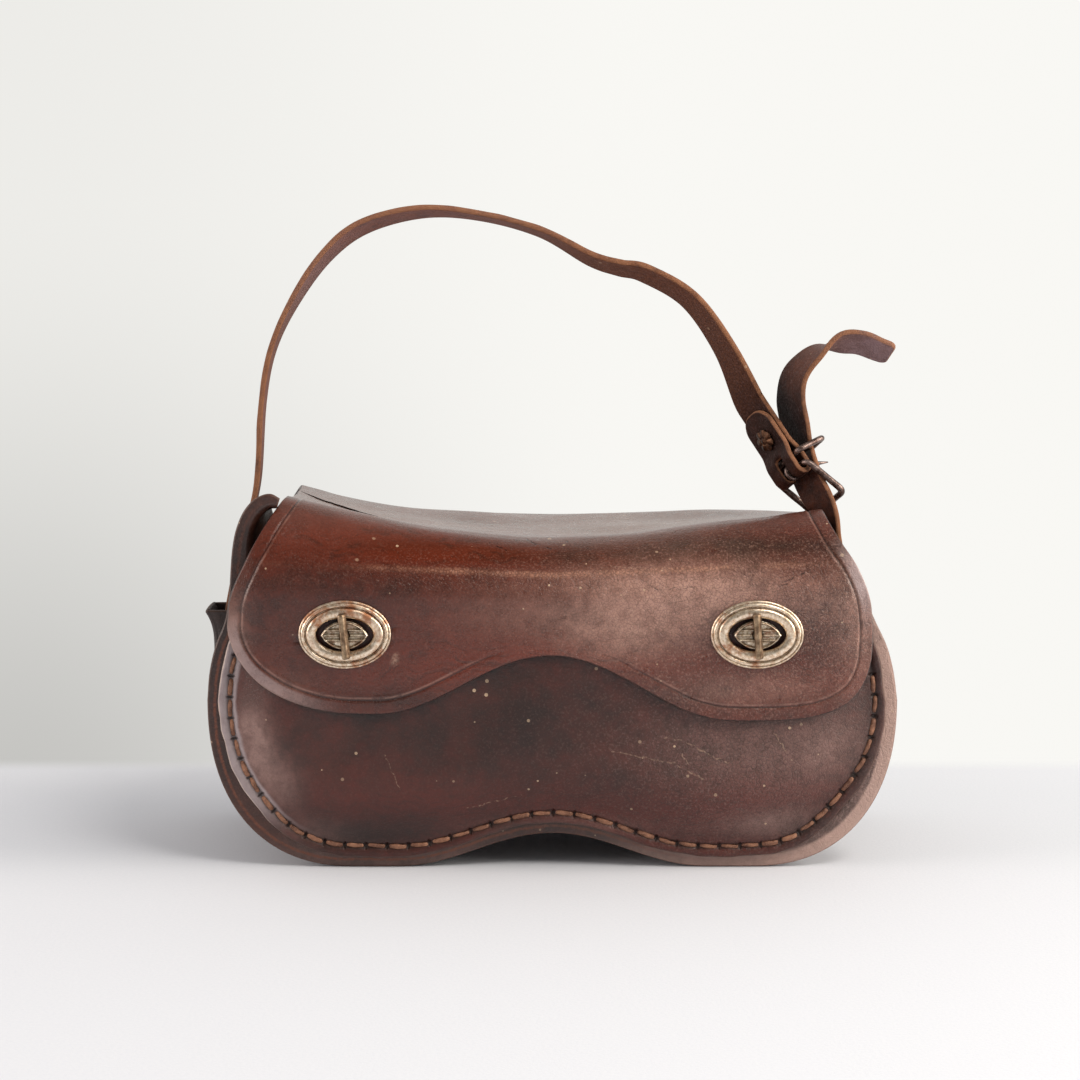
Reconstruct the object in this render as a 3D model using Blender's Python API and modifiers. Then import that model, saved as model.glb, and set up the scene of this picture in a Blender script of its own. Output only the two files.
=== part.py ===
# Two-lobed leather ball bag with a wrap-over flap, two turn locks and an arched, buckled strap.
# World frame: metres, X to the right as seen from the front, Y away from the viewer, Z up.
# The origin is on the floor under the middle of the bag. All tables and sizes below are in millimetres.
import math

import bmesh
import bpy
import numpy as np
from mathutils import Matrix, Vector

MM = 0.001
GAP = 0.3            # clearance between neighbouring solids
WELD = 0.000002      # metres
SHARP_DEGREES = 40
SHIFT_X = 0.9        # moves the shell's own frame so that the whole bag is centred on the origin
SHIFT_Y = 5.6

# Leather thicknesses
WALL = 2.5           # front panel, back and flap
GUSSET_WALL = 2.3
STRAP_THICK = 2.0
STRAP_HALF = 8.0     # half of the strap's width
KEEPER_THICK = 1.8

# Shell outline, seen from the front, at the cut edge of the gusset's rim
HALF_WIDTH = 121.0
WIDEST_Z = 59.5
CORNER_X = 70.0      # where each lower corner starts
CORNER_POWER = 2.3   # 2 would be an ellipse, more is squarer
ARCH_HEIGHT = 12.0   # arch between the lobes
ARCH_HALF = 54.0
CORNER_STEPS = 8
BOTTOM_STEPS = 14
SPINE_HALF = 60.0    # the lobes' centres, where the surface rows fan out
SPINE_STEPS = 10

# Side rows above the widest point: height, then the rim's distance from the middle on each side
# Columns: z, left, right
SIDE_ROWS = [
    (70.0, 120.0, 119.5),
    (79.0, 117.8, 117.0),
    (87.0, 114.6, 113.2),
    (97.0, 112.8, 108.8),
]

# Gusset: the rims are RIM wide, the wall between them bulges
RIM = 9.0
RIM_Y = 47.35        # middle of the rim's thickness, front and back
BULGE_BOTTOM = 3.0
BULGE_SIDE = 4.5
BULGE_EAR = 1.5
SIDE_BULGE_X = 90.0  # past this distance from the middle a station bulges like the sides
# Ears, going up from the last side row: wall x, wall z, rim edge x, rim edge z
# Columns: wall_x, wall_z, edge_x, edge_z
LEFT_EAR = [
    (-104.6, 105.0, -112.3, 105.5),
    (-105.3, 112.0, -111.6, 113.0),
    (-105.2, 117.5, -110.3, 119.5),
    (-104.0, 121.6, -107.9, 125.0),
    (-102.2, 124.2, -104.8, 128.6),
    (-100.4, 125.7, -101.8, 130.2),
    (-98.9, 126.3, -99.2, 129.9),
    (-98.0, 126.3, -97.6, 128.6),
]
RIGHT_EAR = [
    (98.4, 103.0, 105.0, 104.0),
    (97.4, 107.0, 102.4, 109.0),
    (96.0, 110.4, 99.8, 113.0),
    (93.4, 112.0, 95.4, 115.0),
    (90.4, 112.2, 90.6, 114.8),
    (87.8, 110.8, 87.4, 112.4),
]
EAR_CUT_START = 15.0     # y where the ears begin to get shorter towards the back
EAR_CUT_END = 47.35
EAR_BACK_SHARE = 0.05    # the share of an ear's length that is left at the back

# Moulded panels: flat sewn rim, then a dome
PANEL_INSET = 4.2        # cut edge of the panels inside the gusset's edge
PANEL_Y = 50.05          # middle of the rim's thickness
DOME_RISE = 7.5
DOME_FLAT = 6.5          # width of the flat rim
DOME_WIDTH = 22.0        # width over which the dome rises
RING_INSETS = [0.0, 6.5, 12.0, 19.0, 28.5]
LAST_RING_REACH = 30.0   # where the way to the spine is shorter than this, the rings move closer together
SPINE_INSET = 38.5       # stands for every distance past the dome's rise
# Rows above SHOULDER_Z, where the front panel leans in under the flap: height, share of the dome left,
# distance of the rim from the middle on each side
# Columns: z, dome_share, left, right
FRONT_TOP_ROWS = [
    (102.0, 0.56, 112.1, 106.6),
    (105.6, 0.34, 111.6, 104.6),
]

# Top and flap: mid-thickness heights of the top's front and back bends
TOP_COLUMNS = ("x", "z_front", "z_back")
TOP_ROWS = [
    (-94.0, 129.3, 125.6),
    (-78.0, 125.4, 121.4),
    (-62.0, 121.6, 118.0),
    (-36.0, 117.5, 115.5),
    (-18.0, 115.2, 114.8),
    (0.0, 114.2, 114.4),
    (18.0, 114.9, 114.7),
    (43.0, 118.0, 115.5),
    (62.0, 120.6, 115.9),
    (80.0, 122.6, 115.8),
    (95.0, 124.4, 115.2),
]
TOP_Y = 36.0             # the bends start this far from the middle
TOP_SAG = 1.6
SHOULDER_Z = 97.0        # below this height the front and the back hang straight
FLAP_Y = 60.6            # middle of the flap's thickness where it hangs
FLAP_WIDEST_Z = 88.0
FLAP_CORNER_X = 67.0
FLAP_NOTCH = 21.6        # the notch between the flap's lobes
FLAP_NOTCH_HALF = 62.0
# Lobes of the flap: widest distance from the middle, lowest height, superellipse power of the corner,
# and the distance from the middle at SHOULDER_Z
# Columns: widest, bottom, power, shoulder
FLAP_LEFT = (112.6, 56.8, 2.0, 111.6)
FLAP_RIGHT = (111.0, 54.4, 3.2, 109.7)
FLAP_DROOP = 3.0         # the flap's side borders bend back
FLAP_DROOP_X = 98.0
FLAP_DROOP_WIDTH = 14.0
# Side edges of the single sheet from the flap over the top to the back.
# turn is the angle round a bend (0 hangs, 90 lies flat); y is used on the flat top only.
# Columns: part, turn, y, left, right
EDGE_ROWS = [
    ("front", 22.5, 0.0, -106.2, 105.4),
    ("front", 45.0, 0.0, -100.6, 99.6),
    ("front", 67.5, 0.0, -95.9, 96.2),
    ("top", 90.0, -36.0, -93.8, 95.2),
    ("top", 90.0, -12.0, -93.9, 94.2),
    ("top", 90.0, 12.0, -94.2, 93.6),
    ("top", 90.0, 36.0, -94.6, 93.4),
    ("back", 67.5, 0.0, -96.2, 94.6),
    ("back", 45.0, 0.0, -99.4, 96.6),
    ("back", 22.5, 0.0, -103.2, 99.4),
]
BACK_SHOULDER = (103.0, 110.6, 106.4)   # height and rim distances of the back's last upright row

# Turn locks: place of each on the flap
LOCK_X = {"left": -71.6, "right": 70.6}
LOCK_Z = 85.0
HOLE_A = 10.8            # half-length and half-height of the flap's oval hole
HOLE_B = 6.8
HOLE_SIDES = 20
HOLE_DEPTH = 10.0        # depth of the hole's cutter
# Oval plate, outside to inside: half-length, half-height, distance in front of the flap
# Columns: half_length, half_height, front
PLATE_ROWS = [
    (15.9, 11.8, 0.0),
    (16.0, 11.9, 0.6),
    (15.2, 11.1, 1.1),
    (13.9, 9.8, 0.9),
    (13.3, 9.2, 1.6),
    (11.0, 7.0, 1.7),
    (9.8, 5.8, 0.9),
    (9.9, 5.9, 0.0),
]
PLATE_SIDES = 28
BASE_HALF_LENGTH = 8.1
BASE_HALF_HEIGHT = 4.9
BASE_STEPS = 7           # faces along each arc of the eye-shaped boss
BASE_FRONT = 3.4         # the boss stands this far in front of the flap
SHAFT_R = 1.5
SHAFT_CLEARANCE = 0.35
SHAFT_DEPTH = 3.2
SHAFT_SIDES = 16
KNOB_LENGTH = 15.8
KNOB_WIDTH = 2.5
KNOB_DEPTH = 3.0
KNOB_ROUND = 0.9
SHAFT_SINK = 1.0         # how far the shaft reaches into the bar
KNOB_LEAN = {"left": 6.0, "right": 4.0}  # degrees off upright, top to the left

# Buckle: place of the heel bar, the strap's direction there and its sideways tilt
BAR = Vector((87.4, -2.0, 135.3))
STRAP_DOWN = Vector((0.53, -0.25, -0.81)).normalized()
BUCKLE_TILT = 39.0
WIRE_R = 1.2
FRAME_HALF = 10.0        # heel bar's middle to each side wire
FRAME_LENGTH = 17.6
FRAME_OPEN = 23.0        # degrees between the strap and the frame
WIRE_BEND = 1.5
WIRE_SIDES = 2           # curve bevel resolution
CORNER_SHARE = 0.29      # the wire's corner point, as a share of the bend on each side
PRONG_R = 0.9
PRONG_LENGTH = 17.0
PRONG_TURN = 73.5        # degrees between the strap and the prong
PRONG_TIP_R = 0.25
PRONG_POINT = 4.0        # length of the prong's point
PRONG_HOLE = (2.0, 12.0)  # the hole's cutter, from and to, past the heel bar
PRONG_HOLE_R = 1.5
EYE_TURNS = (205, 164, 123, 82, 41, 0)  # degrees round the heel bar
KEEPER_WIRE_R = 1.1
KEEPER_WIRE_BACK = -4.8  # wire keeper's place along the strap from the heel bar
KEEPER_WIRE_OUT = 13.2
TAB_STRAIGHT = 15.0      # the tab is straight from here to its end
TAB_TIP = (19.0, 22.5, 24.8, 26.0)  # rows of the rounded end, from the heel bar
TAB_CORNER = 6.8
STRAP_CORNER = 2.0       # corner radii of the straps' sewn ends and of the free end
FREE_CORNER = 3.0
FREE_ROWS = (1.4, 0.4)   # extra rows before the free end
RIVET_BACK = -15.0
RIVET_R = 3.5
RIVET_PETALS = 7
RIVET_PETAL_DEPTH = 0.5
RIVET_SEAT = 0.35        # clearance between the rivet's head and the strap
# Columns: height above the strap, share of the head's radius
RIVET_ROWS = [
    (0.0, 1.0),
    (0.7, 1.0),
    (1.3, 0.55),
]
CAP_R = 2.4
CAP_THICK = 0.8
PIN_R = 1.1
PIN_SIDES = 12
PIN_SINK = 0.4           # how far the pin reaches into the head and the cap
CUT_REACH = 8.0          # the cutters reach this far past the strap's middle
SLOT_HALF = 1.9          # slot in the fold for the prong
SLOT_REACH = 5.5
FOLD_SLACK = 0.45        # clearance between the fold and the heel bar

# Long strap from its sewn end on the left to the buckle: centre line and tilt of the near edge
# Columns: x, y, z, tilt
LONG_ROWS = [
    (-118.2, 0.0, 44.0, 0.0),
    (-119.5, 0.0, 60.0, 0.0),
    (-119.1, 0.0, 72.0, 0.0),
    (-117.8, 0.0, 85.0, 0.0),
    (-114.6, 0.0, 102.0, -1.0),
    (-110.4, 0.0, 117.5, -2.0),
    (-106.9, 0.0, 133.0, -2.0),
    (-104.9, 0.2, 161.0, -1.0),
    (-101.2, 0.6, 179.9, 1.0),
    (-93.3, 1.0, 196.9, 6.0),
    (-81.9, 1.5, 213.1, 11.0),
    (-68.2, 2.0, 223.9, 15.0),
    (-47.4, 2.5, 229.3, 12.0),
    (-26.2, 3.0, 227.9, 8.0),
    (-4.0, 3.5, 222.0, 9.0),
    (14.1, 4.0, 212.4, 15.0),
    (24.6, 4.3, 209.1, 18.0),
    (33.6, 4.6, 207.2, 21.0),
    (50.0, 5.4, 197.6, 22.0),
    (62.9, 6.2, 180.0, 25.0),
]
# Short strap from its sewn end on the right, through the buckle, to its free end
SHORT_ROWS = [
    (118.2, 0.0, 44.0, 0.0),
    (119.4, 0.0, 58.0, 0.0),
    (118.0, 0.0, 70.0, 0.0),
    (115.4, 0.0, 79.0, 0.0),
    (111.9, 0.0, 87.0, -1.0),
    (108.0, 0.0, 95.5, -3.0),
    (104.4, -0.4, 104.0, -7.0),
    (101.0, -2.8, 114.4, -17.0),
    (97.7, -5.3, 123.9, -32.0),
    (93.9, -1.6, 131.0, -33.0),
    (91.6, 1.6, 137.4, -34.0),
    (90.2, 4.5, 141.9, -35.0),
    (88.8, 4.0, 151.3, -33.0),
    (87.0, 1.6, 161.0, -31.0),
    (87.6, 0.6, 168.5, -28.0),
    (90.8, 0.0, 174.3, -21.0),
    (96.7, 0.0, 179.4, -9.0),
    (104.5, 0.0, 182.3, 27.0),
    (111.5, 0.0, 182.3, 31.0),
    (118.4, 0.0, 179.7, 29.0),
    (123.0, 0.0, 178.1, 28.0),
]

# Leather keeper on the left side: height, then how far it stands out at its front face
# Columns: z, out_x
KEEPER_ROWS = [
    (68.0, -122.0),
    (73.0, -121.9),
    (79.0, -122.4),
    (83.0, -123.6),
    (86.0, -125.2),
]
KEEPER_HALF_Y = 10.6     # inside of each leg
KEEPER_FOOT = 6.0
KEEPER_SLACK = 0.25      # added to the feet's clearance, because the wall is bulged
KEEPER_BEND = 1.5        # rounding between the feet, legs and front
KEEPER_SHOULDER = 2.8

COLOURS = {
    "front": (0.085, 0.028, 0.020, 1.0),
    "gusset": (0.075, 0.024, 0.018, 1.0),
    "flap": (0.100, 0.030, 0.021, 1.0),
    "strap": (0.090, 0.030, 0.018, 1.0),
    "lock": (0.420, 0.340, 0.230, 1.0),
    "wire": (0.200, 0.150, 0.110, 1.0),
}


def clear_scene():
    for obj in list(bpy.data.objects):
        bpy.data.objects.remove(obj, do_unlink=True)


def collection(name):
    made = bpy.data.collections.new(name)
    bpy.context.scene.collection.children.link(made)
    return made


def material(name, colour, roughness, metallic):
    made = bpy.data.materials.new(name)
    made.use_nodes = True
    shader = made.node_tree.nodes["Principled BSDF"]
    shader.inputs["Base Color"].default_value = colour
    shader.inputs["Roughness"].default_value = roughness
    shader.inputs["Metallic"].default_value = metallic
    return made


# Shell coordinates in millimetres to world metres.
def world(points):
    placed = np.asarray(points, dtype=float) + np.array([SHIFT_X, SHIFT_Y, 0.0])
    return placed * MM


def rounded(value):
    return value * value * (3.0 - 2.0 * value)


def clamp01(value):
    return min(1.0, max(0.0, value))


# Joins points that meet and turns all faces outwards.
def weld(mesh):
    build = bmesh.new()
    build.from_mesh(mesh)
    bmesh.ops.remove_doubles(build, verts=build.verts, dist=WELD)
    bmesh.ops.recalc_face_normals(build, faces=build.faces)
    build.to_mesh(mesh)
    build.free()


def mesh_object(name, points, faces, finish, home):
    mesh = bpy.data.meshes.new(name)
    mesh.from_pydata([tuple(p) for p in world(points)], [], faces)
    made = bpy.data.objects.new(name, mesh)
    home.objects.link(made)
    weld(mesh)
    mesh.materials.append(finish)
    mesh.shade_smooth()
    mesh.set_sharp_from_angle(angle=math.radians(SHARP_DEGREES))
    return made


def thicken(obj, thickness):
    wall = obj.modifiers.new("wall", "SOLIDIFY")
    wall.thickness = thickness * MM
    wall.offset = 0.0
    wall.use_even_offset = True


def cut(obj, cutter):
    hole = obj.modifiers.new("cut " + cutter.name, "BOOLEAN")
    hole.operation = "DIFFERENCE"
    hole.solver = "EXACT"
    hole.object = cutter


def join(obj, other):
    union = obj.modifiers.new("join " + other.name, "BOOLEAN")
    union.operation = "UNION"
    union.solver = "EXACT"
    union.object = other


def hide_cutter(obj):
    obj.hide_render = True
    obj.display_type = "WIRE"


# Quads between neighbouring rows of a grid of points; every row has the same number of points.
def grid_faces(rows, columns, start=0, closed=False):
    faces = []
    for r in range(rows - 1):
        for c in range(columns if closed else columns - 1):
            nxt = (c + 1) % columns
            a = start + r * columns
            b = a + columns
            faces.append((a + c, a + nxt, b + nxt, b + c))
    return faces


def arch(x, height, half):
    if abs(x) >= half:
        return 0.0
    return height * math.cos(0.5 * math.pi * x / half) ** 2


# One lower corner: a superellipse quadrant from the widest point down to the bottom.
# lobe gives the widest distance from the middle, the lowest height and the power.
def corner_points(side, lobe, top_z, corner_x):
    widest, bottom, power = lobe[:3]
    points = []
    for k in range(CORNER_STEPS):
        turn = 0.5 * math.pi * k / CORNER_STEPS
        across = math.cos(turn) ** (2.0 / power)
        down = math.sin(turn) ** (2.0 / power)
        x = corner_x + (widest - corner_x) * across
        points.append((side * x, top_z - (top_z - bottom) * down))
    return points


# Lower outline from the left widest point round the bottom to the right one.
# The bottom runs straight from lobe to lobe with a cosine arch in the middle.
def lower_outline(left, right, top_z, corner_x, rise, rise_half, bottom_xs):
    points = corner_points(-1.0, left, top_z, corner_x)
    for x in bottom_xs:
        share = 0.5 * (x + corner_x) / corner_x
        points.append((x, left[1] + (right[1] - left[1]) * share + arch(x, rise, rise_half)))
    return points + corner_points(1.0, right, top_z, corner_x)[::-1]


def spine_xs():
    return [-SPINE_HALF + 2.0 * SPINE_HALF * k / SPINE_STEPS for k in range(SPINE_STEPS + 1)]


def shell_outline(inset, bottom_xs):
    lobe = (HALF_WIDTH - inset, inset, CORNER_POWER)
    return lower_outline(lobe, lobe, WIDEST_Z, CORNER_X, ARCH_HEIGHT, ARCH_HALF, bottom_xs)


# Rings from an outline towards the spine; the last ring lies on the spine itself.
def lobe_rings(outline, spine_z):
    rings = []
    for inset in RING_INSETS + [None]:
        ring = []
        for x, z in outline:
            centre_x = min(SPINE_HALF, max(-SPINE_HALF, x))
            length = math.hypot(centre_x - x, spine_z - z)
            if inset is None:
                share = 1.0
            else:
                share = inset * min(1.0, length / LAST_RING_REACH) / length
            ring.append((x + (centre_x - x) * share, z + (spine_z - z) * share))
        rings.append(ring)
    return rings


# Places across a row that reaches from left to right, matching the rings on each side.
def row_xs(left, right):
    left_part = [left + inset for inset in RING_INSETS]
    right_part = [right - inset for inset in reversed(RING_INSETS)]
    return left_part + spine_xs() + right_part


def dome(distance):
    share = clamp01((distance - DOME_FLAT) / DOME_WIDTH)
    return DOME_RISE * math.sin(0.5 * math.pi * share)


# Distance of each ring or column from the sewn edge, matching lobe_rings and row_xs.
def ring_distances():
    return RING_INSETS + [SPINE_INSET]


def row_distances():
    middle = [SPINE_INSET] * (SPINE_STEPS + 1)
    return RING_INSETS + middle + list(reversed(RING_INSETS))


def add_rings(points, faces, rings, y_of_ring):
    start = len(points)
    for ring, y in zip(rings, y_of_ring):
        points.extend((x, y, z) for x, z in ring)
    faces.extend(grid_faces(len(rings), len(rings[0]), start))


def add_rows(points, faces, rows):
    start = len(points)
    for row in rows:
        points.extend(row)
    faces.extend(grid_faces(len(rows), len(rows[0]), start))


def panel_bottom_xs():
    return [-CORNER_X] + spine_xs() + [CORNER_X]


def panel_row(z, left, right, side, dome_share=1.0):
    xs = row_xs(-left + PANEL_INSET, right - PANEL_INSET)
    return [(x, side * (PANEL_Y + dome(d) * dome_share), z) for x, d in zip(xs, row_distances())]


def panel_side_rows():
    return [(WIDEST_Z, HALF_WIDTH, HALF_WIDTH)] + SIDE_ROWS


def make_front_panel(finish, home):
    points, faces = [], []
    rings = lobe_rings(shell_outline(PANEL_INSET, panel_bottom_xs()), WIDEST_Z)
    add_rings(points, faces, rings, [-PANEL_Y - dome(d) for d in ring_distances()])
    rows = [panel_row(z, left, right, -1.0) for z, left, right in panel_side_rows()]
    rows += [panel_row(z, left, right, -1.0, share) for z, share, left, right in FRONT_TOP_ROWS]
    add_rows(points, faces, rows)
    panel = mesh_object("front_panel", points, faces, finish, home)
    thicken(panel, WALL)
    return panel


def ear_point(table, place):
    spot = clamp01(place) * (len(table) - 1)
    low = min(int(spot), len(table) - 2)
    share = spot - low
    return [a + (b - a) * share for a, b in zip(table[low], table[low + 1])]


# Stations along the strip: for a depth y, the wall point and the rim's edge point of each station.
def gusset_stations(y):
    cut_share = clamp01((y - EAR_CUT_START) / (EAR_CUT_END - EAR_CUT_START))
    keep = 1.0 - (1.0 - EAR_BACK_SHARE) * cut_share ** 3
    last_z, last_left, last_right = SIDE_ROWS[-1]
    left_table = [(-last_left + RIM, last_z, -last_left, last_z)] + LEFT_EAR
    right_table = [(last_right - RIM, last_z, last_right, last_z)] + RIGHT_EAR
    stations = []
    for k in range(len(LEFT_EAR), 0, -1):
        row = ear_point(left_table, keep * k / len(LEFT_EAR))
        stations.append(("ear", row))
    for z, left, right in reversed(SIDE_ROWS):
        stations.append(("side", (-left + RIM, z, -left, z)))
    bottom_xs = [-CORNER_X + 2.0 * CORNER_X * k / BOTTOM_STEPS for k in range(BOTTOM_STEPS + 1)]
    edge = shell_outline(0.0, bottom_xs)
    wall = shell_outline(RIM, bottom_xs)
    for (edge_x, edge_z), (wall_x, wall_z) in zip(edge, wall):
        part = "side" if abs(edge_x) > SIDE_BULGE_X else "bottom"
        stations.append((part, (wall_x, wall_z, edge_x, edge_z)))
    for z, left, right in SIDE_ROWS:
        stations.append(("side", (right - RIM, z, right, z)))
    for k in range(1, len(RIGHT_EAR) + 1):
        row = ear_point(right_table, keep * k / len(RIGHT_EAR))
        stations.append(("ear", row))
    return stations


BULGES = {"ear": BULGE_EAR, "side": BULGE_SIDE, "bottom": BULGE_BOTTOM}
# Section across the strip: depth, share of the rim's width inwards, share of the bulge
# Columns: y, inward, bulge
HALF_SECTION = [
    (RIM_Y, 0.0, 0.0),
    (RIM_Y, 0.76, 0.0),
    (RIM_Y - 1.8, 1.0, 0.0),
    (38.0, 1.0, 0.30),
    (20.0, 1.0, 0.85),
]
GUSSET_SECTION = (
    [(-y, inward, bulge) for y, inward, bulge in HALF_SECTION]
    + [(0.0, 1.0, 1.0)]
    + list(reversed(HALF_SECTION))
)


def make_gusset(finish, home):
    columns = []
    for y, inward, bulge in GUSSET_SECTION:
        column = []
        for part, (wall_x, wall_z, edge_x, edge_z) in gusset_stations(y):
            share = inward - bulge * BULGES[part] / RIM
            column.append((edge_x + (wall_x - edge_x) * share, y, edge_z + (wall_z - edge_z) * share))
        columns.append(column)
    points = [p for column in columns for p in column]
    strip = mesh_object("gusset", points, grid_faces(len(columns), len(columns[0])), finish, home)
    thicken(strip, GUSSET_WALL)
    return strip


# Height of the top's bend at x, read from the table by straight interpolation.
def top_height(x, column):
    xs = [row[0] for row in TOP_ROWS]
    zs = [row[TOP_COLUMNS.index(column)] for row in TOP_ROWS]
    return float(np.interp(x, xs, zs))


def flap_y(x):
    droop = FLAP_DROOP * rounded(clamp01((abs(x) - FLAP_DROOP_X) / FLAP_DROOP_WIDTH))
    return -FLAP_Y + droop


def sheet_point(part, turn, y, x, distance):
    angle = math.radians(turn)
    front_z = top_height(x, "z_front")
    back_z = top_height(x, "z_back")
    if part == "front":
        reach = -flap_y(x) - TOP_Y
        return (x, -TOP_Y - reach * math.cos(angle),
                SHOULDER_Z + (front_z - SHOULDER_Z) * math.sin(angle))
    if part == "back":
        reach = PANEL_Y + dome(distance) - TOP_Y
        bend_z = BACK_SHOULDER[0]
        return (x, TOP_Y + reach * math.cos(angle), bend_z + (back_z - bend_z) * math.sin(angle))
    share = (y + TOP_Y) / (2.0 * TOP_Y)
    sag = TOP_SAG * 4.0 * share * (1.0 - share)
    return (x, y, front_z + (back_z - front_z) * share - sag)


def make_back_and_flap(finish, home, cutters):
    points, faces = [], []
    flap_outline = lower_outline(FLAP_LEFT, FLAP_RIGHT, FLAP_WIDEST_Z, FLAP_CORNER_X, FLAP_NOTCH,
                                 FLAP_NOTCH_HALF, [-FLAP_CORNER_X] + spine_xs() + [FLAP_CORNER_X])
    start = len(points)
    flap_rings = lobe_rings(flap_outline, FLAP_WIDEST_Z)
    for ring in flap_rings:
        points.extend((x, flap_y(x), z) for x, z in ring)
    faces.extend(grid_faces(len(flap_rings), len(flap_outline), start))

    rows = [[(x, flap_y(x), FLAP_WIDEST_Z) for x in row_xs(-FLAP_LEFT[0], FLAP_RIGHT[0])],
            [(x, flap_y(x), SHOULDER_Z) for x in row_xs(-FLAP_LEFT[3], FLAP_RIGHT[3])]]
    for part, turn, y, left, right in EDGE_ROWS:
        xs = row_xs(left, right)
        rows.append([sheet_point(part, turn, y, x, d) for x, d in zip(xs, row_distances())])
    back_rows = panel_side_rows() + [BACK_SHOULDER]
    rows += [panel_row(z, left, right, 1.0) for z, left, right in reversed(back_rows)]
    add_rows(points, faces, rows)

    rings = lobe_rings(shell_outline(PANEL_INSET, panel_bottom_xs()), WIDEST_Z)
    add_rings(points, faces, rings, [PANEL_Y + dome(d) for d in ring_distances()])
    sheet = mesh_object("back_and_flap", points, faces, finish, home)
    thicken(sheet, WALL)
    for side in ("left", "right"):
        cut(sheet, oval_cutter("hole_" + side, LOCK_X[side], cutters))
    return sheet


def oval_cutter(name, x, cutters):
    bpy.ops.mesh.primitive_cylinder_add(vertices=HOLE_SIDES, radius=1.0, depth=HOLE_DEPTH * MM)
    cutter = bpy.context.active_object
    cutter.name = name
    shape = Matrix.Diagonal((HOLE_A * MM, HOLE_B * MM, 1.0, 1.0))
    cutter.data.transform(Matrix.Rotation(math.radians(90), 4, "X") @ shape)
    cutter.location = world((x, -FLAP_Y, LOCK_Z))
    move_to(cutter, cutters)
    hide_cutter(cutter)
    return cutter


def move_to(obj, home):
    for old in list(obj.users_collection):
        old.objects.unlink(obj)
    home.objects.link(obj)


# Smooth curve through table rows (Catmull-Rom), read at even steps of the row number.
def smooth_rows(rows, steps):
    table = np.array(rows, dtype=float)
    count = len(table)
    padded = np.vstack([2.0 * table[0] - table[1], table, 2.0 * table[-1] - table[-2]])
    out = []
    for k in range(count - 1):
        p0, p1, p2, p3 = padded[k:k + 4]
        for step in range(steps):
            t = step / steps
            out.append(0.5 * (2.0 * p1 + (p2 - p0) * t + (2.0 * p0 - 5.0 * p1 + 4.0 * p2 - p3) * t ** 2
                              + (3.0 * p1 - p0 - 3.0 * p2 + p3) * t ** 3))
    out.append(table[-1])
    return np.array(out)


# Direction from the strap's middle to its near edge, square to the strap's run.
def near_direction(run, tilt):
    run = Vector(run).normalized()
    outward = Vector((-run.z, 0.0, run.x)).normalized()
    near = outward * math.sin(math.radians(tilt)) - Vector((0.0, 1.0, 0.0)) * math.cos(math.radians(tilt))
    return (near - run * near.dot(run)).normalized()


BUCKLE_NEAR = near_direction(STRAP_DOWN, BUCKLE_TILT)
BUCKLE_OUT = BUCKLE_NEAR.cross(STRAP_DOWN).normalized()


# A point in the buckle's own frame: along the strap, out of its face, and towards the near edge.
def buckle_point(along, out, near=0.0):
    return BAR + STRAP_DOWN * along + BUCKLE_OUT * out + BUCKLE_NEAR * near


def runs_of(points):
    steps = np.gradient(np.array(points, dtype=float), axis=0)
    return steps / np.linalg.norm(steps, axis=1)[:, None]


# Half width near a rounded end: corner is the corner radius, distance is measured from the end.
def end_half(distance, corner):
    if distance >= corner:
        return STRAP_HALF
    return STRAP_HALF - corner + math.sqrt(corner ** 2 - (corner - distance) ** 2)


def ribbon(name, points, nears, halves, finish, home):
    grid = []
    for side in (-1.0, 0.0, 1.0):
        grid.extend(tuple(Vector(p) + n * (side * h)) for p, n, h in zip(points, nears, halves))
    strap = mesh_object(name, grid, grid_faces(3, len(points)), finish, home)
    thicken(strap, STRAP_THICK)
    return strap


# Corner radius is applied to both ends through end_half, over the distance along the strap.
def end_widths(points, first_corner, last_corner):
    steps = [0.0]
    for a, b in zip(points[:-1], points[1:]):
        steps.append(steps[-1] + (Vector(b) - Vector(a)).length)
    total = steps[-1]
    return [min(end_half(s, first_corner), end_half(total - s, last_corner)) for s in steps]


def cylinder_between(name, start, end, radius, sides, home):
    start = Vector(world(start))
    end = Vector(world(end))
    bpy.ops.mesh.primitive_cylinder_add(vertices=sides, radius=radius * MM, depth=(end - start).length)
    made = bpy.context.active_object
    made.name = name
    turn = (end - start).to_track_quat("Z", "Y").to_matrix().to_4x4()
    made.data.transform(Matrix.Translation((start + end) * 0.5) @ turn)
    move_to(made, home)
    return made


def box_between(name, low, high, home):
    corners = []
    for along in (low[0], high[0]):
        for out in (low[1], high[1]):
            for near in (low[2], high[2]):
                corners.append(buckle_point(along, out, near))
    mesh = bpy.data.meshes.new(name)
    build = bmesh.new()
    for corner in corners:
        build.verts.new(Vector(world(corner)))
    bmesh.ops.convex_hull(build, input=build.verts)
    bmesh.ops.recalc_face_normals(build, faces=build.faces)
    build.to_mesh(mesh)
    build.free()
    made = bpy.data.objects.new(name, mesh)
    home.objects.link(made)
    hide_cutter(made)
    return made


EYE_R = WIRE_R + GAP + PRONG_R                   # prong's eye round the heel bar
LAYER = 0.5 * STRAP_THICK + 0.5 * GAP            # strap's middle to the plane between the layers
FOLD_R = WIRE_R + FOLD_SLACK + 0.5 * STRAP_THICK  # fold's middle round the heel bar
# Side view of the fold: distance along the strap and out of its face, for the outer layer
# Columns: along, out
FOLD_ROWS = [
    (-30.0, LAYER),
    (-20.0, LAYER),
    (-11.0, LAYER),
    (-8.0, 1.75),
    (-5.0, FOLD_R - 0.08),
    (0.0, FOLD_R),
]
FOLD_TURNS = 6


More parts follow.
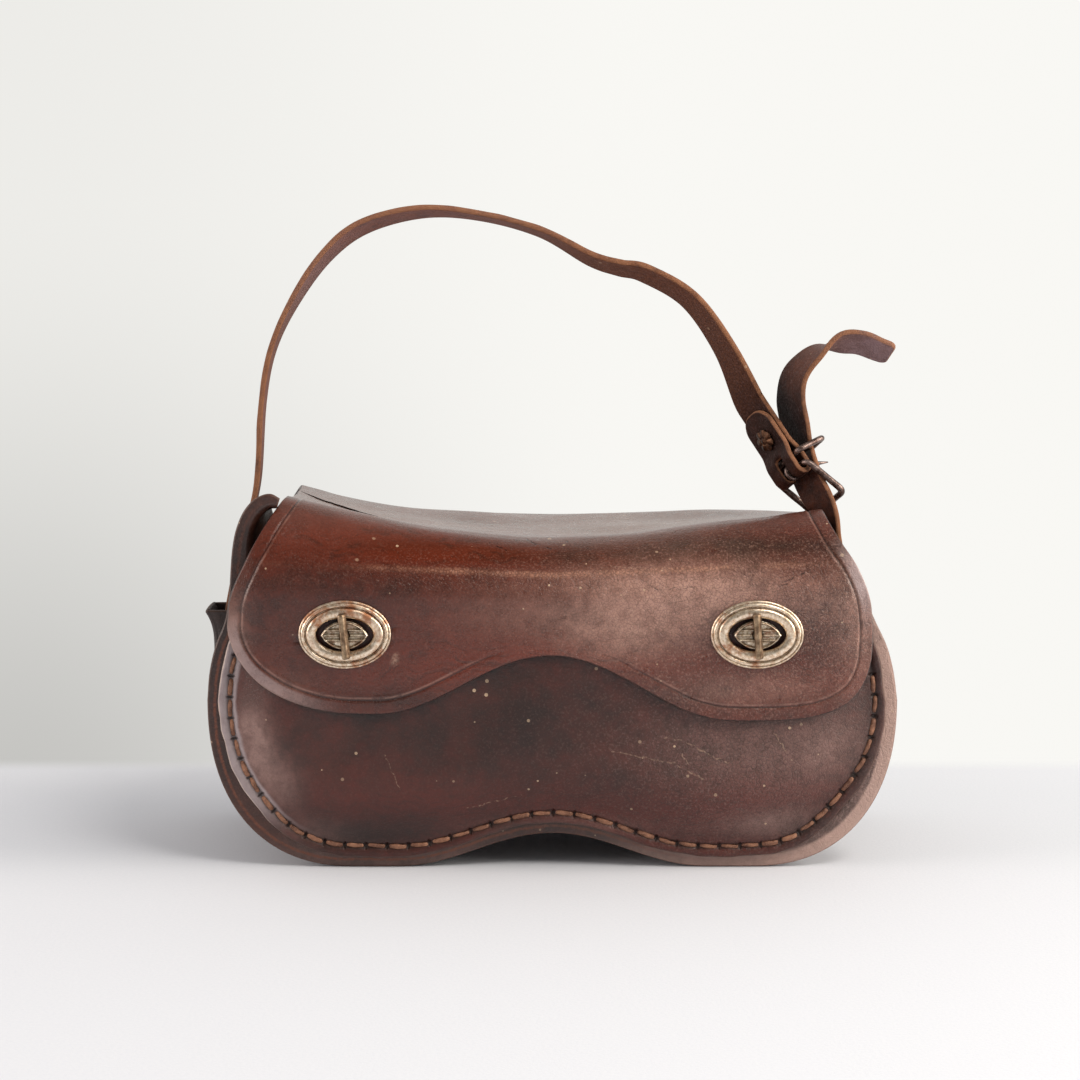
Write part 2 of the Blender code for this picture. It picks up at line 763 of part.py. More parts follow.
def fold_path():
    outer = [buckle_point(along, out) for along, out in FOLD_ROWS]
    turn = [buckle_point(FOLD_R * math.sin(a), FOLD_R * math.cos(a))
            for a in (math.pi * k / FOLD_TURNS for k in range(1, FOLD_TURNS))]
    inner = [buckle_point(along, -out) for along, out in reversed(FOLD_ROWS) if along > -TAB_STRAIGHT]
    tip = [buckle_point(-along, -LAYER) for along in TAB_TIP]
    return outer + turn + inner + tip


def make_long_strap(finish, home, cutters):
    end = buckle_point(FOLD_ROWS[0][0], FOLD_ROWS[0][1])
    rows = LONG_ROWS + [(end.x, end.y, end.z, BUCKLE_TILT)]
    arch_rows = smooth_rows(rows, 2)
    runs = runs_of(arch_rows[:, :3])
    points = [Vector(p) for p in arch_rows[:-1, :3]]
    nears = [near_direction(run, tilt) for run, tilt in zip(runs[:-1], arch_rows[:-1, 3])]
    fold = fold_path()
    points += fold
    nears += [BUCKLE_NEAR] * len(fold)
    strap = ribbon("long_strap", points, nears, end_widths(points, STRAP_CORNER, TAB_CORNER), finish, home)
    cut(strap, box_between("prong_slot", (-SLOT_REACH, -SLOT_REACH, -SLOT_HALF),
                           (SLOT_REACH, SLOT_REACH, SLOT_HALF), cutters))
    pin_hole = cylinder_between("rivet_hole", buckle_point(RIVET_BACK, -CUT_REACH),
                                buckle_point(RIVET_BACK, CUT_REACH), PIN_R + GAP, PIN_SIDES, cutters)
    hide_cutter(pin_hole)
    cut(strap, pin_hole)
    return strap


def prong_directions():
    turn = math.radians(PRONG_TURN)
    axis = STRAP_DOWN * math.cos(turn) + BUCKLE_OUT * math.sin(turn)
    return axis, BUCKLE_NEAR.cross(axis).normalized()


# A point on the prong's shank, at a distance past the heel bar.
def prong_point(distance):
    axis, side = prong_directions()
    return BAR + side * EYE_R + axis * distance


def make_short_strap(finish, home, cutters):
    rows = smooth_rows(SHORT_ROWS, 2)
    runs = runs_of(rows[:, :3])
    points = [Vector(p) for p in rows[:, :3]]
    nears = [near_direction(run, tilt) for run, tilt in zip(runs, rows[:, 3])]
    tip_run = Vector(runs[-1])
    for back in FREE_ROWS:
        points.insert(-1, points[-1] - tip_run * back)
        nears.insert(-1, nears[-1])
    strap = ribbon("short_strap", points, nears, end_widths(points, STRAP_CORNER, FREE_CORNER), finish, home)
    start, end = PRONG_HOLE
    hole = cylinder_between("prong_hole", prong_point(start), prong_point(end),
                            PRONG_HOLE_R, PIN_SIDES, cutters)
    hide_cutter(hole)
    cut(strap, hole)
    return strap


# The curve becomes a welded mesh object of the same name, and the curve is removed.
def mesh_from_curve(name, curve, finish, home):
    shape = bpy.data.objects.new(name + "_curve", curve)
    bpy.context.scene.collection.objects.link(shape)
    bpy.context.view_layer.update()
    ready = shape.evaluated_get(bpy.context.evaluated_depsgraph_get())
    mesh = bpy.data.meshes.new_from_object(ready)
    bpy.data.objects.remove(shape, do_unlink=True)
    weld(mesh)
    mesh.name = name
    mesh.materials.clear()
    mesh.materials.append(finish)
    mesh.shade_smooth()
    mesh.set_sharp_from_angle(angle=math.radians(SHARP_DEGREES))
    made = bpy.data.objects.new(name, mesh)
    home.objects.link(made)
    return made


# Closed or open round wire through the points, as a mesh with closed ends.
# tip is the radius at the last point of an open wire.
def wire(name, points, radius, cyclic, finish, home, tip=None):
    curve = bpy.data.curves.new(name, "CURVE")
    curve.dimensions = "3D"
    curve.bevel_depth = radius * MM
    curve.bevel_resolution = WIRE_SIDES
    curve.use_fill_caps = not cyclic
    spline = curve.splines.new("POLY")
    spline.points.add(len(points) - 1)
    for spot, p in zip(spline.points, world([tuple(p) for p in points])):
        spot.co = (*p, 1.0)
    spline.use_cyclic_u = cyclic
    if tip is not None:
        spline.points[-1].radius = tip / radius
    return mesh_from_curve(name, curve, finish, home)


# Rectangle of wire with rounded corners: width along BUCKLE_NEAR, length along the given direction.
def wire_rectangle(base, direction, length, half, bend):
    corners = [(0.0, -half), (0.0, half), (length, half), (length, -half)]
    points = []
    for k, (along, near) in enumerate(corners):
        before = Vector(corners[k - 1]) - Vector((along, near))
        after = Vector(corners[(k + 1) % 4]) - Vector((along, near))
        start = Vector((along, near)) + before.normalized() * bend
        middle = Vector((along, near)) + (before.normalized() + after.normalized()) * bend * CORNER_SHARE
        finish = Vector((along, near)) + after.normalized() * bend
        points.extend((start, middle, finish))
    return [base + direction * p[0] + BUCKLE_NEAR * p[1] for p in points]


def make_buckle(finish, home):
    opening = math.radians(FRAME_OPEN)
    direction = STRAP_DOWN * math.cos(opening) + BUCKLE_OUT * math.sin(opening)
    wire("buckle_frame", wire_rectangle(BAR, direction, FRAME_LENGTH, FRAME_HALF, WIRE_BEND),
         WIRE_R, True, finish, home)
    base = buckle_point(KEEPER_WIRE_BACK, 0.0)
    wire("wire_keeper", wire_rectangle(base, BUCKLE_OUT, KEEPER_WIRE_OUT, FRAME_HALF, WIRE_BEND),
         KEEPER_WIRE_R, True, finish, home)
    make_prong(finish, home)


# The prong's eye runs round the heel bar, then the straight shank leaves it.
def make_prong(finish, home):
    axis, side = prong_directions()
    turns = [math.radians(a) for a in EYE_TURNS]
    eye = [BAR + side * (EYE_R * math.cos(t)) - axis * (EYE_R * math.sin(t)) for t in turns]
    shank = [prong_point(PRONG_LENGTH - PRONG_POINT), prong_point(PRONG_LENGTH)]
    wire("buckle_prong", eye + shank, PRONG_R, False, finish, home, PRONG_TIP_R)


def make_rivet(finish, home):
    steps = RIVET_PETALS * 4
    face = -LAYER - 0.5 * STRAP_THICK - RIVET_SEAT
    points = []
    for height, grow in RIVET_ROWS:
        for k in range(steps):
            angle = 2.0 * math.pi * k / steps
            radius = (RIVET_R + RIVET_PETAL_DEPTH * math.cos(RIVET_PETALS * angle)) * grow
            along = RIVET_BACK + radius * math.cos(angle)
            points.append(buckle_point(along, face - height, radius * math.sin(angle)))
    faces = grid_faces(len(RIVET_ROWS), steps, closed=True)
    faces.append(tuple(range(steps)))
    faces.append(tuple(range(len(points) - 1, len(points) - steps - 1, -1)))
    head = mesh_object("rosette_rivet", points, faces, finish, home)
    far = LAYER + 0.5 * STRAP_THICK + GAP
    pin = cylinder_between("rivet_pin", buckle_point(RIVET_BACK, face - PIN_SINK),
                           buckle_point(RIVET_BACK, far + PIN_SINK), PIN_R, PIN_SIDES, home)
    cap = cylinder_between("rivet_cap", buckle_point(RIVET_BACK, far),
                           buckle_point(RIVET_BACK, far + CAP_THICK), CAP_R, SHAFT_SIDES, home)
    fuse(head, [pin, cap])
    return head


# Boolean union with each of the others, applied, so that one closed body is left.
def fuse(obj, others):
    for other in others:
        join(obj, other)
    bpy.context.view_layer.update()
    ready = obj.evaluated_get(bpy.context.evaluated_depsgraph_get())
    mesh = bpy.data.meshes.new_from_object(ready)
    obj.modifiers.clear()
    obj.data = mesh
    for other in others:
        bpy.data.objects.remove(other, do_unlink=True)


# Outer face of the gusset's wall on the left side, at a height and a depth.
def left_wall_x(z, y):
    heights = [row[0] for row in panel_side_rows()]
    lefts = [row[1] for row in panel_side_rows()]
    depths = [row[0] for row in GUSSET_SECTION]
    bulges = [row[2] for row in GUSSET_SECTION]
    edge = float(np.interp(z, heights, lefts))
    bulge = BULGE_SIDE * float(np.interp(y, depths, bulges))
    return -(edge - RIM + bulge + 0.5 * GUSSET_WALL)


# Section of the keeper from one foot over the strap to the other foot.
def make_keeper(finish, home):
    seat = GAP + 0.5 * KEEPER_THICK + KEEPER_SLACK
    half = KEEPER_HALF_Y
    foot = half + KEEPER_FOOT
    columns = []
    for z, out_x in KEEPER_ROWS:
        side = [
            (left_wall_x(z, foot) - seat, foot),
            (left_wall_x(z, half + KEEPER_BEND) - seat, half + KEEPER_BEND),
            (left_wall_x(z, half) - seat - KEEPER_BEND, half),
            (out_x + KEEPER_BEND, half - 0.4 * KEEPER_BEND),
            (out_x, half - KEEPER_SHOULDER),
        ]
        section = [(x, -y) for x, y in side] + side[::-1]
        columns.append([(x, y, z) for x, y in section])
    points = [p for column in columns for p in column]
    keeper = mesh_object("strap_keeper", points, grid_faces(len(columns), len(columns[0])), finish, home)
    thicken(keeper, KEEPER_THICK)
    return keeper


def oval_ring(a, b, y, x):
    angles = [2.0 * math.pi * k / PLATE_SIDES for k in range(PLATE_SIDES)]
    return [(x + a * math.cos(t), y, LOCK_Z + b * math.sin(t)) for t in angles]


FLAP_FACE = FLAP_Y + 0.5 * WALL


def make_lock(side, finish, home):
    x = LOCK_X[side]
    seat = -FLAP_FACE - GAP
    points = []
    for a, b, front in PLATE_ROWS:
        points.extend(oval_ring(a, b, seat - front, x))
    faces = grid_faces(len(PLATE_ROWS), PLATE_SIDES, closed=True)
    last = (len(PLATE_ROWS) - 1) * PLATE_SIDES
    for k in range(PLATE_SIDES):
        nxt = (k + 1) % PLATE_SIDES
        faces.append((last + k, last + nxt, nxt, k))
    mesh_object(side + "_lock_plate", points, faces, finish, home)
    make_lock_base(side, finish, home)
    make_lock_knob(side, finish, home)


# Eye-shaped boss: two arcs through its ends, extruded from the panel out through the flap.
def make_lock_base(side, finish, home):
    half, height = BASE_HALF_LENGTH, BASE_HALF_HEIGHT
    radius = (half ** 2 + height ** 2) / (2.0 * height)
    reach = math.asin(half / radius)
    angles = [reach - 2.0 * reach * k / BASE_STEPS for k in range(BASE_STEPS + 1)]
    upper = [(radius * math.sin(a), radius * math.cos(a) - radius + height) for a in angles]
    outline = upper + [(-u, -v) for u, v in upper[1:-1]]
    bore = SHAFT_R + SHAFT_CLEARANCE
    turns = [2.0 * math.pi * k / SHAFT_SIDES for k in range(SHAFT_SIDES)]
    hole = [(bore * math.cos(t), bore * math.sin(t)) for t in turns]
    back = -PANEL_Y - DOME_RISE - 0.5 * WALL - GAP
    front = -FLAP_FACE - BASE_FRONT
    curve = bpy.data.curves.new(side + "_lock_base", "CURVE")
    curve.dimensions = "2D"
    curve.fill_mode = "BOTH"
    curve.extrude = 0.5 * (back - front) * MM
    for loop in (outline, hole):
        spline = curve.splines.new("POLY")
        spline.points.add(len(loop) - 1)
        for spot, (u, v) in zip(spline.points, loop):
            spot.co = (u * MM, v * MM, 0.0, 1.0)
        spline.use_cyclic_u = True
    base = mesh_from_curve(side + "_lock_base", curve, finish, home)
    centre = Matrix.Translation(Vector(world((LOCK_X[side], 0.5 * (back + front), LOCK_Z))))
    base.data.transform(centre @ Matrix.Rotation(math.radians(90), 4, "X"))
    return base


# The turn bar's origin is on the lock's axis, at the back of the bar.
def make_lock_knob(side, finish, home):
    knob_back = -FLAP_FACE - BASE_FRONT - GAP
    mesh = bpy.data.meshes.new(side + "_lock_knob")
    build = bmesh.new()
    bmesh.ops.create_cube(build, size=1.0)
    bmesh.ops.scale(build, vec=(KNOB_WIDTH * MM, KNOB_DEPTH * MM, KNOB_LENGTH * MM), verts=build.verts)
    bmesh.ops.translate(build, vec=(0.0, -0.5 * KNOB_DEPTH * MM, 0.0), verts=build.verts)
    upright = [e for e in build.edges if abs(e.verts[0].co.x - e.verts[1].co.x) > 0.5 * KNOB_WIDTH * MM]
    bmesh.ops.bevel(build, geom=upright, offset=KNOB_ROUND * MM, segments=2, affect="EDGES", profile=0.5)
    bmesh.ops.rotate(build, cent=(0.0, 0.0, 0.0), verts=build.verts,
                     matrix=Matrix.Rotation(math.radians(-KNOB_LEAN[side]), 3, "Y"))
    bmesh.ops.recalc_face_normals(build, faces=build.faces)
    build.to_mesh(mesh)
    build.free()
    mesh.materials.append(finish)
    knob = bpy.data.objects.new(side + "_lock_knob", mesh)
    home.objects.link(knob)
    bpy.ops.mesh.primitive_cylinder_add(vertices=SHAFT_SIDES, radius=SHAFT_R * MM,
                                        depth=(SHAFT_DEPTH + SHAFT_SINK) * MM)
    shaft = bpy.context.active_object
    shaft.data.transform(Matrix.Translation((0.0, 0.5 * (SHAFT_DEPTH - SHAFT_SINK) * MM, 0.0))
                         @ Matrix.Rotation(math.radians(90), 4, "X"))
    move_to(shaft, home)
    fuse(knob, [shaft])
    knob.location = world((LOCK_X[side], knob_back, LOCK_Z))
    return knob


def main():
    clear_scene()
    bag = collection("ball_bag")
    cutters = collection("cutters")
    front = material("front_leather", COLOURS["front"], 0.42, 0.0)
    side = material("gusset_leather", COLOURS["gusset"], 0.5, 0.0)
    flap = material("flap_leather", COLOURS["flap"], 0.38, 0.0)
    strap = material("strap_leather", COLOURS["strap"], 0.6, 0.0)
    lock = material("lock_metal", COLOURS["lock"], 0.35, 1.0)
    wire_metal = material("wire_metal", COLOURS["wire"], 0.45, 1.0)

    make_front_panel(front, bag)
    make_gusset(side, bag)
    make_back_and_flap(flap, bag, cutters)
    make_long_strap(strap, bag, cutters)
    make_short_strap(strap, bag, cutters)
    make_keeper(strap, bag)
    make_buckle(wire_metal, bag)
    make_rivet(wire_metal, bag)
    for which in ("left", "right"):
        make_lock(which, lock, bag)


main()
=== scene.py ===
# Two-lobed leather bag for metal balls: moulded panels, a wrap-over flap with two turn locks, a buckled strap.
# Tables and sizes are millimetres in the bag's own frame; toWorld moves them to the CAD frame in metres.
import math
from functools import partial, reduce

import bpy
import numpy as np
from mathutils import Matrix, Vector


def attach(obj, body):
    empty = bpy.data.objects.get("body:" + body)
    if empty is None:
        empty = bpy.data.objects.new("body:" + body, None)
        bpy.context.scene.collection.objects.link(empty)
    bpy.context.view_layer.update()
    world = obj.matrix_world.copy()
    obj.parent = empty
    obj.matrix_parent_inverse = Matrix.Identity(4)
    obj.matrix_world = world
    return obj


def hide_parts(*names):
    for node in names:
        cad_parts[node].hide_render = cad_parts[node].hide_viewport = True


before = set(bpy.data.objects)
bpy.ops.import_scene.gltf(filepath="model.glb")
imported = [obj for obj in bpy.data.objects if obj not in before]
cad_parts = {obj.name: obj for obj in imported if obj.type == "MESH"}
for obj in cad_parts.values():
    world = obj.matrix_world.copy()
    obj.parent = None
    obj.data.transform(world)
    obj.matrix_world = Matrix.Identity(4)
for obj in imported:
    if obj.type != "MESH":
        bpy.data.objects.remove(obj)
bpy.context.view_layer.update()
print("frame loaded:", len(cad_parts), "nodes")

frameShift = np.array([0.9, 5.6, 0.0])
farAway = 40.0  # stands for any distance that is past every edge's reach
bag = {
    "halfWidth": 121.0, "widestZ": 59.5, "cornerX": 70.0, "cornerPower": 2.3,
    "archHeight": 12.0, "archHalf": 54.0, "spineHalf": 60.0, "ringReach": 30.0,
    "panelInset": 4.2, "panelY": 50.05, "domeRise": 7.5, "domeFlat": 6.5, "domeWidth": 22.0,
    "deepInset": 38.5,  # counts as the inset of all points past the edge steps
    "deepSteps": 8, "runCount": 94,  # points from the edge steps to the spine, and along the spine
    # side rows: height, rim's distance from the middle on the left and on the right
    "sideRows": [(59.5, 121.0, 121.0), (70.0, 120.0, 119.5), (79.0, 117.8, 117.0),
                 (87.0, 114.6, 113.2), (97.0, 112.8, 108.8)],
}
# distances from a cut edge where the surface rows lie: close together where the edge is rounded
edgeSteps = [0.0, 0.05, 0.19, 0.42, 0.72, 1.1, 1.7, 2.4, 3.0, 3.5, 3.8, 4.1, 4.4, 4.7, 5.0, 5.3, 5.9, 6.8, 7.8]
innerSteps = [9.0, 10.4, 12.0, 13.8, 15.8, 18.0, 20.4, 23.0, 25.7, 28.5]
edgeSteps = np.array(edgeSteps + innerSteps)


# Moves millimetres in the bag's frame to metres in the CAD frame.
def toWorld(points):
    return (np.asarray(points, float) + frameShift) * 0.001


# Smooth step: nothing at 0 and below, one at 1 and above, t squared times (3 - 2t) between.
def smooth01(value):
    value = np.clip(value, 0.0, 1.0)
    return value * value * (3.0 - 2.0 * value)


# Reads a column of a table, whose first column is the place, as one smooth curve: a cubic between each pair of
# rows, whose slopes are the average slopes round each row, held to three times the flatter neighbour so that the
# curve never overshoots.
def curveAt(table, at, column=1):
    places, values = np.asarray(table, float)[:, [0, column]].T
    slopes = np.gradient(values, places)
    chords = np.abs(np.diff(values) / np.diff(places))
    limit = 3.0 * np.minimum(np.append(chords, chords[-1]), np.insert(chords, 0, chords[0])) + 0.02 * chords.max()
    slopes = np.clip(slopes, -limit, limit)
    spot = np.clip(np.searchsorted(places, at) - 1, 0, len(places) - 2)
    step = places[spot + 1] - places[spot]
    t = np.clip((at - places[spot]) / step, 0.0, 1.0)
    a, b = values[spot], values[spot + 1]
    return ((2 * t**3 - 3 * t**2 + 1) * a + (t**3 - 2 * t**2 + t) * step * slopes[spot]
            + (3 * t**2 - 2 * t**3) * b + (t**3 - t**2) * step * slopes[spot + 1])


# Bell curve: one in the middle, and 0.37 at one width from it.
def bell(value, width):
    return np.exp(-((value / width) ** 2))


# Points from three coordinates, each an array or one number.
def pointsOf(x, y, z):
    return np.stack(np.broadcast_arrays(x, y, z), -1).astype(float)


# Distance along a path at each of its points.
def runAlong(path):
    return np.concatenate([[0.0], np.cumsum(np.linalg.norm(np.diff(path, axis=0), axis=1))])


# Reads the rows of a table, which lie at the places in run, at other places.
def rowsAt(table, run, at):
    return np.stack([np.interp(at, run, column) for column in table.T], -1)


# Soft irregular field of about -1 to 1: five sine waves with seeded directions and phases are added.
def softField(points, size, seed):
    random = np.random.default_rng(seed)
    waves = random.normal(size=(5, points.shape[-1]))
    waves *= 2.0 * math.pi / size * random.uniform(0.6, 1.5, (5, 1)) / np.linalg.norm(waves, axis=1)[:, None]
    return np.sin(points @ waves.T + random.uniform(0.0, 2.0 * math.pi, 5)).sum(-1) / 2.6


# Four corners for each cell of a grid of points; wrap joins the last column to the first, and loop the last row.
def gridCells(rows, columns, start=0, wrap=False, loop=False):
    r, c = np.meshgrid(np.arange(rows - (not loop)), np.arange(columns - (not wrap)), indexing="ij")
    above = (r + 1) % rows * columns
    a, b = r * columns + c, r * columns + (c + 1) % columns
    return start + np.stack([a, b, above + (c + 1) % columns, above + c], -1).reshape(-1, 4)


# Leaves out triangles that have a corner twice.
def withoutFlat(triangles):
    a, b, c = triangles.T
    return triangles[(a != b) & (b != c) & (a != c)]


# Two triangles for each four-cornered cell.
def cellsToTriangles(cells):
    return withoutFlat(np.concatenate([cells[:, [0, 1, 2]], cells[:, [0, 2, 3]]]))


# Joins points that round to the same five-hundredth of a millimetre.
def joinPoints(points, triangles, extras):
    keys = np.round(points / 0.002 + 0.2137).astype(np.int64)
    _, first, place = np.unique(keys, axis=0, return_index=True, return_inverse=True)
    return (points[first], withoutFlat(place.reshape(-1)[triangles]),
            {key: value[first] for key, value in extras.items()})


# Normal at each point: the sum of the area vectors of the triangles round it, made one long.
def pointNormals(points, triangles):
    a, b, c = points[triangles[:, 0]], points[triangles[:, 1]], points[triangles[:, 2]]
    area = np.cross(b - a, c - a)
    total = np.zeros_like(points)
    for corner in range(3):
        np.add.at(total, triangles[:, corner], area)
    return total / np.maximum(np.linalg.norm(total, axis=1), 1e-9)[:, None]


# Edges that only one triangle uses, as pairs of point numbers.
def cutEdges(triangles):
    pairs = np.concatenate([triangles[:, [0, 1]], triangles[:, [1, 2]], triangles[:, [2, 0]]])
    pairs = np.sort(pairs, axis=1)
    found, count = np.unique(pairs, axis=0, return_counts=True)
    return found[count == 1]


# Distance from each point to the nearest of the segments, and how far along the whole line of segments it is.
def segmentDistance(points, starts, ends, runs=None):
    distance, along = np.empty(len(points)), np.empty(len(points))
    direction = ends - starts
    length2 = np.maximum((direction**2).sum(1), 1e-12)
    for low in range(0, len(points), 400):
        block = points[low:low + 400, None, :]
        t = np.clip(((block - starts) * direction).sum(-1) / length2, 0.0, 1.0)
        gap = np.linalg.norm(block - starts - t[..., None] * direction, axis=-1)
        best = gap.argmin(1)
        row = np.arange(len(best))
        distance[low:low + 400] = gap[row, best]
        if runs is not None:
            along[low:low + 400] = runs[best] + t[row, best] * np.sqrt(length2[best])
    return distance, along


# A new object for some data, in the scene.
def addObject(name, data):
    made = bpy.data.objects.new(name, data)
    bpy.context.scene.collection.objects.link(made)
    return made


# A smooth-shaded mesh object from arrays, with one number per point for each attribute.
def makeMesh(name, points, triangles, attributes=None, place=True):
    mesh = bpy.data.meshes.new(name)
    mesh.vertices.add(len(points))
    mesh.vertices.foreach_set("co", (toWorld(points) if place else points).astype(np.float32).ravel())
    mesh.loops.add(triangles.size)
    mesh.loops.foreach_set("vertex_index", triangles.astype(np.int32).ravel())
    mesh.polygons.add(len(triangles))
    mesh.polygons.foreach_set("loop_start", np.arange(0, triangles.size, 3, dtype=np.int32))
    mesh.update(calc_edges=True)
    mesh.polygons.foreach_set("use_smooth", np.ones(len(triangles), bool))
    for key, value in (attributes or {}).items():
        layer = mesh.attributes.new(key, "FLOAT", "POINT")
        layer.data.foreach_set("value", np.asarray(value, np.float32))
    mesh.validate()
    return addObject(name, mesh)


# Closed leather from a middle surface: both faces lie half a thickness from it, and near every cut edge the
# half thickness falls to nothing along a quarter of an ellipse. lift raises or sinks the outer face only, and is
# an array or a function of the distance from the edge. outside is a direction, or one for each point, that the
# outer face looks towards. Points whose rough distance is past reach are not measured from the edge.
def leather(name, middle, triangles, thickness, rounding, outside, extras, lift=0.0, reach=12.0):
    normals = pointNormals(middle, triangles)
    if (normals * outside).sum() < 0.0:
        normals, triangles = -normals, triangles[:, ::-1]
    border = cutEdges(triangles)
    onBorder = np.zeros(len(middle), bool)
    onBorder[border.ravel()] = True
    near = extras.get("rough", np.zeros(len(middle))) < reach
    edge = np.full(len(middle), farAway)
    edge[near] = segmentDistance(middle[near], middle[border[:, 0]], middle[border[:, 1]])[0]
    edge[onBorder] = 0.0
    half = 0.5 * thickness * np.sqrt(1.0 - (1.0 - np.clip(edge / rounding, 0.0, 1.0)) ** 2)
    raised = (lift(edge) if callable(lift) else lift) * smooth01(edge / (2.0 * rounding))
    outer = middle + normals * (half + raised)[:, None]
    inner = middle - normals * half[:, None]
    keep = ~onBorder
    innerPlace = np.arange(len(middle))
    innerPlace[keep] = len(middle) + np.arange(keep.sum())
    solid = ~onBorder[triangles].all(1)
    used = triangles[solid]
    faces = np.concatenate([used, innerPlace[used][:, ::-1]])
    points = np.concatenate([outer, inner[keep]])
    attributes = {key: np.concatenate([value, value[keep]]) for key, value in extras.items() if key != "rough"}
    attributes["edge"] = np.concatenate([edge, edge[keep]])
    attributes["inside"] = np.concatenate([np.zeros(len(middle)), np.ones(keep.sum())])
    return makeMesh(name, points, faces, attributes)


# A store collects grids of points, each with its extra values, until they are joined into one surface.
def newStore():
    return {"cells": [], "points": [], "extras": {}, "count": 0}


# Adds a grid of points to a store, and the extra values of its points.
def addGrid(store, points, extras):
    rows, columns = points.shape[:2]
    store["cells"].append(gridCells(rows, columns, store["count"]))
    store["points"].append(points.reshape(-1, 3))
    for key, value in extras.items():
        store["extras"].setdefault(key, []).append(np.broadcast_to(value, (rows, columns)).reshape(-1))
    store["count"] += rows * columns


# One surface of all the grids in a store, joined where their points meet.
def joined(store):
    points = np.concatenate(store["points"])
    extras = {key: np.concatenate(value) for key, value in store["extras"].items()}
    return joinPoints(points, cellsToTriangles(np.concatenate(store["cells"])), extras)


# Distance from a point that moves inwards along a ray, measured in shell millimetres, to the dome's height:
# nothing on the flat sewn rim, then a quarter of a sine wave.
def domeHeight(inset):
    share = np.clip((inset - bag["domeFlat"]) / bag["domeWidth"], 0.0, 1.0)
    return bag["domeRise"] * np.sin(0.5 * math.pi * share)


# Lower outline from the left widest point to the right one: a superellipse quarter at each corner and a
# straight run between them that rises in a squared cosine.
def lowerOutline(left, right, topZ, cornerX, rise, riseHalf, cornerCount=44, runCount=bag["runCount"]):
    sides = []
    for sign, (widest, bottom, power) in ((-1.0, left), (1.0, right)):
        turn = 0.5 * math.pi * np.linspace(0.0, 1.0, cornerCount, endpoint=False)
        x = cornerX + (widest - cornerX) * np.cos(turn) ** (2.0 / power)
        sides.append(np.stack([sign * x, topZ - (topZ - bottom) * np.sin(turn) ** (2.0 / power)], -1))
    spine, corner = bag["spineHalf"], np.linspace(bag["spineHalf"], cornerX, 7)[1:]
    x = np.concatenate([-corner[::-1], np.linspace(-spine, spine, runCount), corner])
    arch = np.where(np.abs(x) < riseHalf, rise * np.cos(0.5 * math.pi * x / riseHalf) ** 2, 0.0)
    z = left[1] + (right[1] - left[1]) * 0.5 * (x + cornerX) / cornerX + arch
    return np.concatenate([sides[0], np.stack([x, z], -1), sides[1][::-1]])


# The gusset's lower edge, moved inwards by inset.
def shellOutline(inset, **counts):
    lobe = (bag["halfWidth"] - inset, inset, bag["cornerPower"])
    return lowerOutline(lobe, lobe, bag["widestZ"], bag["cornerX"], bag["archHeight"], bag["archHalf"], **counts)


# Rings from the outline to the spine, a level line between the two lobes' centres. Each outline point moves
# straight towards the nearest point of the spine: first by the edge steps, then in even shares.
def ringGrid(outline, spineZ):
    centre = np.stack([np.clip(outline[:, 0], -bag["spineHalf"], bag["spineHalf"]),
                       np.full(len(outline), spineZ)], -1)
    way = centre - outline
    length = np.linalg.norm(way, axis=1)
    near = edgeSteps[:, None] * np.minimum(1.0, length / bag["ringReach"]) / length
    shares = np.linspace(0.0, 1.0, bag["deepSteps"] + 1)[1:, None]
    far = near[-1] + (1.0 - near[-1]) * shares
    share = np.concatenate([near, far])
    inset = np.concatenate([np.broadcast_to(edgeSteps[:, None], near.shape), np.full(far.shape, bag["deepInset"])])
    return outline + way * share[..., None], inset


# Places across a row between its two cut edges, matching the first and last points of the rings.
def rowPlaces(left, right):
    spine, deepSteps, middle = (bag[key] for key in ("spineHalf", "deepSteps", "runCount"))
    shares = np.linspace(0.0, 1.0, deepSteps + 1)[1:]
    leftPart = np.concatenate([left + edgeSteps, (left + edgeSteps[-1]) * (1.0 - shares) - spine * shares])
    rightPart = np.concatenate([right - edgeSteps, (right - edgeSteps[-1]) * (1.0 - shares) + spine * shares])
    run = np.linspace(-spine, spine, middle)[1:-1]
    inset = np.concatenate([edgeSteps, np.full(deepSteps, bag["deepInset"])])
    return (np.concatenate([leftPart, run, rightPart[::-1]]),
            np.concatenate([inset, np.full(middle - 2, bag["deepInset"]), inset[::-1]]))


# Bumps that fade like a bell curve: each row is x, y, z of the middle, three radii and a strength.
def bells(points, rows):
    total = np.zeros(len(points))
    for x, y, z, rx, ry, rz, strength in rows:
        away = (points - (x, y, z)) / (rx, ry, rz)
        total += strength * np.exp(-(away**2).sum(1))
    return np.clip(total, 0.0, 1.5)


# Distances of the gusset's left and right edge from the middle at a height.
def sideEdges(z):
    return curveAt(bag["sideRows"], z), curveAt(bag["sideRows"], z, 2)


# Seam threads: inset from the gusset's edge, pitch, length as a share of it, width and height of a thread, where
# the seams start at the front and the back, slant, the channel they lie in, a small thread's width, height and
# slant, and the step of the points along the seam.
stitches = {"inset": 8.0, "pitch": 7.5, "length": 0.93, "width": 1.55, "height": 1.0, "topFront": 76.0,
            "topBack": 102.0, "slant": 0.45, "groove": 0.75, "grooveWidth": 1.1,
            "small": (0.9, 0.7, 0.1), "step": 0.5, "sides": 8}


# The stitch line on a panel: points from topZ on the left, round the bottom, to topZ on the right.
def stitchPath(topZ):
    inset, step = stitches["inset"], stitches["step"]
    z = np.arange(topZ, bag["widestZ"], -step)
    left, right = sideEdges(z)
    low = shellOutline(inset, cornerCount=160, runCount=420)
    path = np.concatenate([np.stack([inset - left, z], -1), low, np.stack([right - inset, z], -1)[::-1]])
    run = runAlong(path)
    at = np.arange(0.0, run[-1], step)
    return rowsAt(path, run, at), at


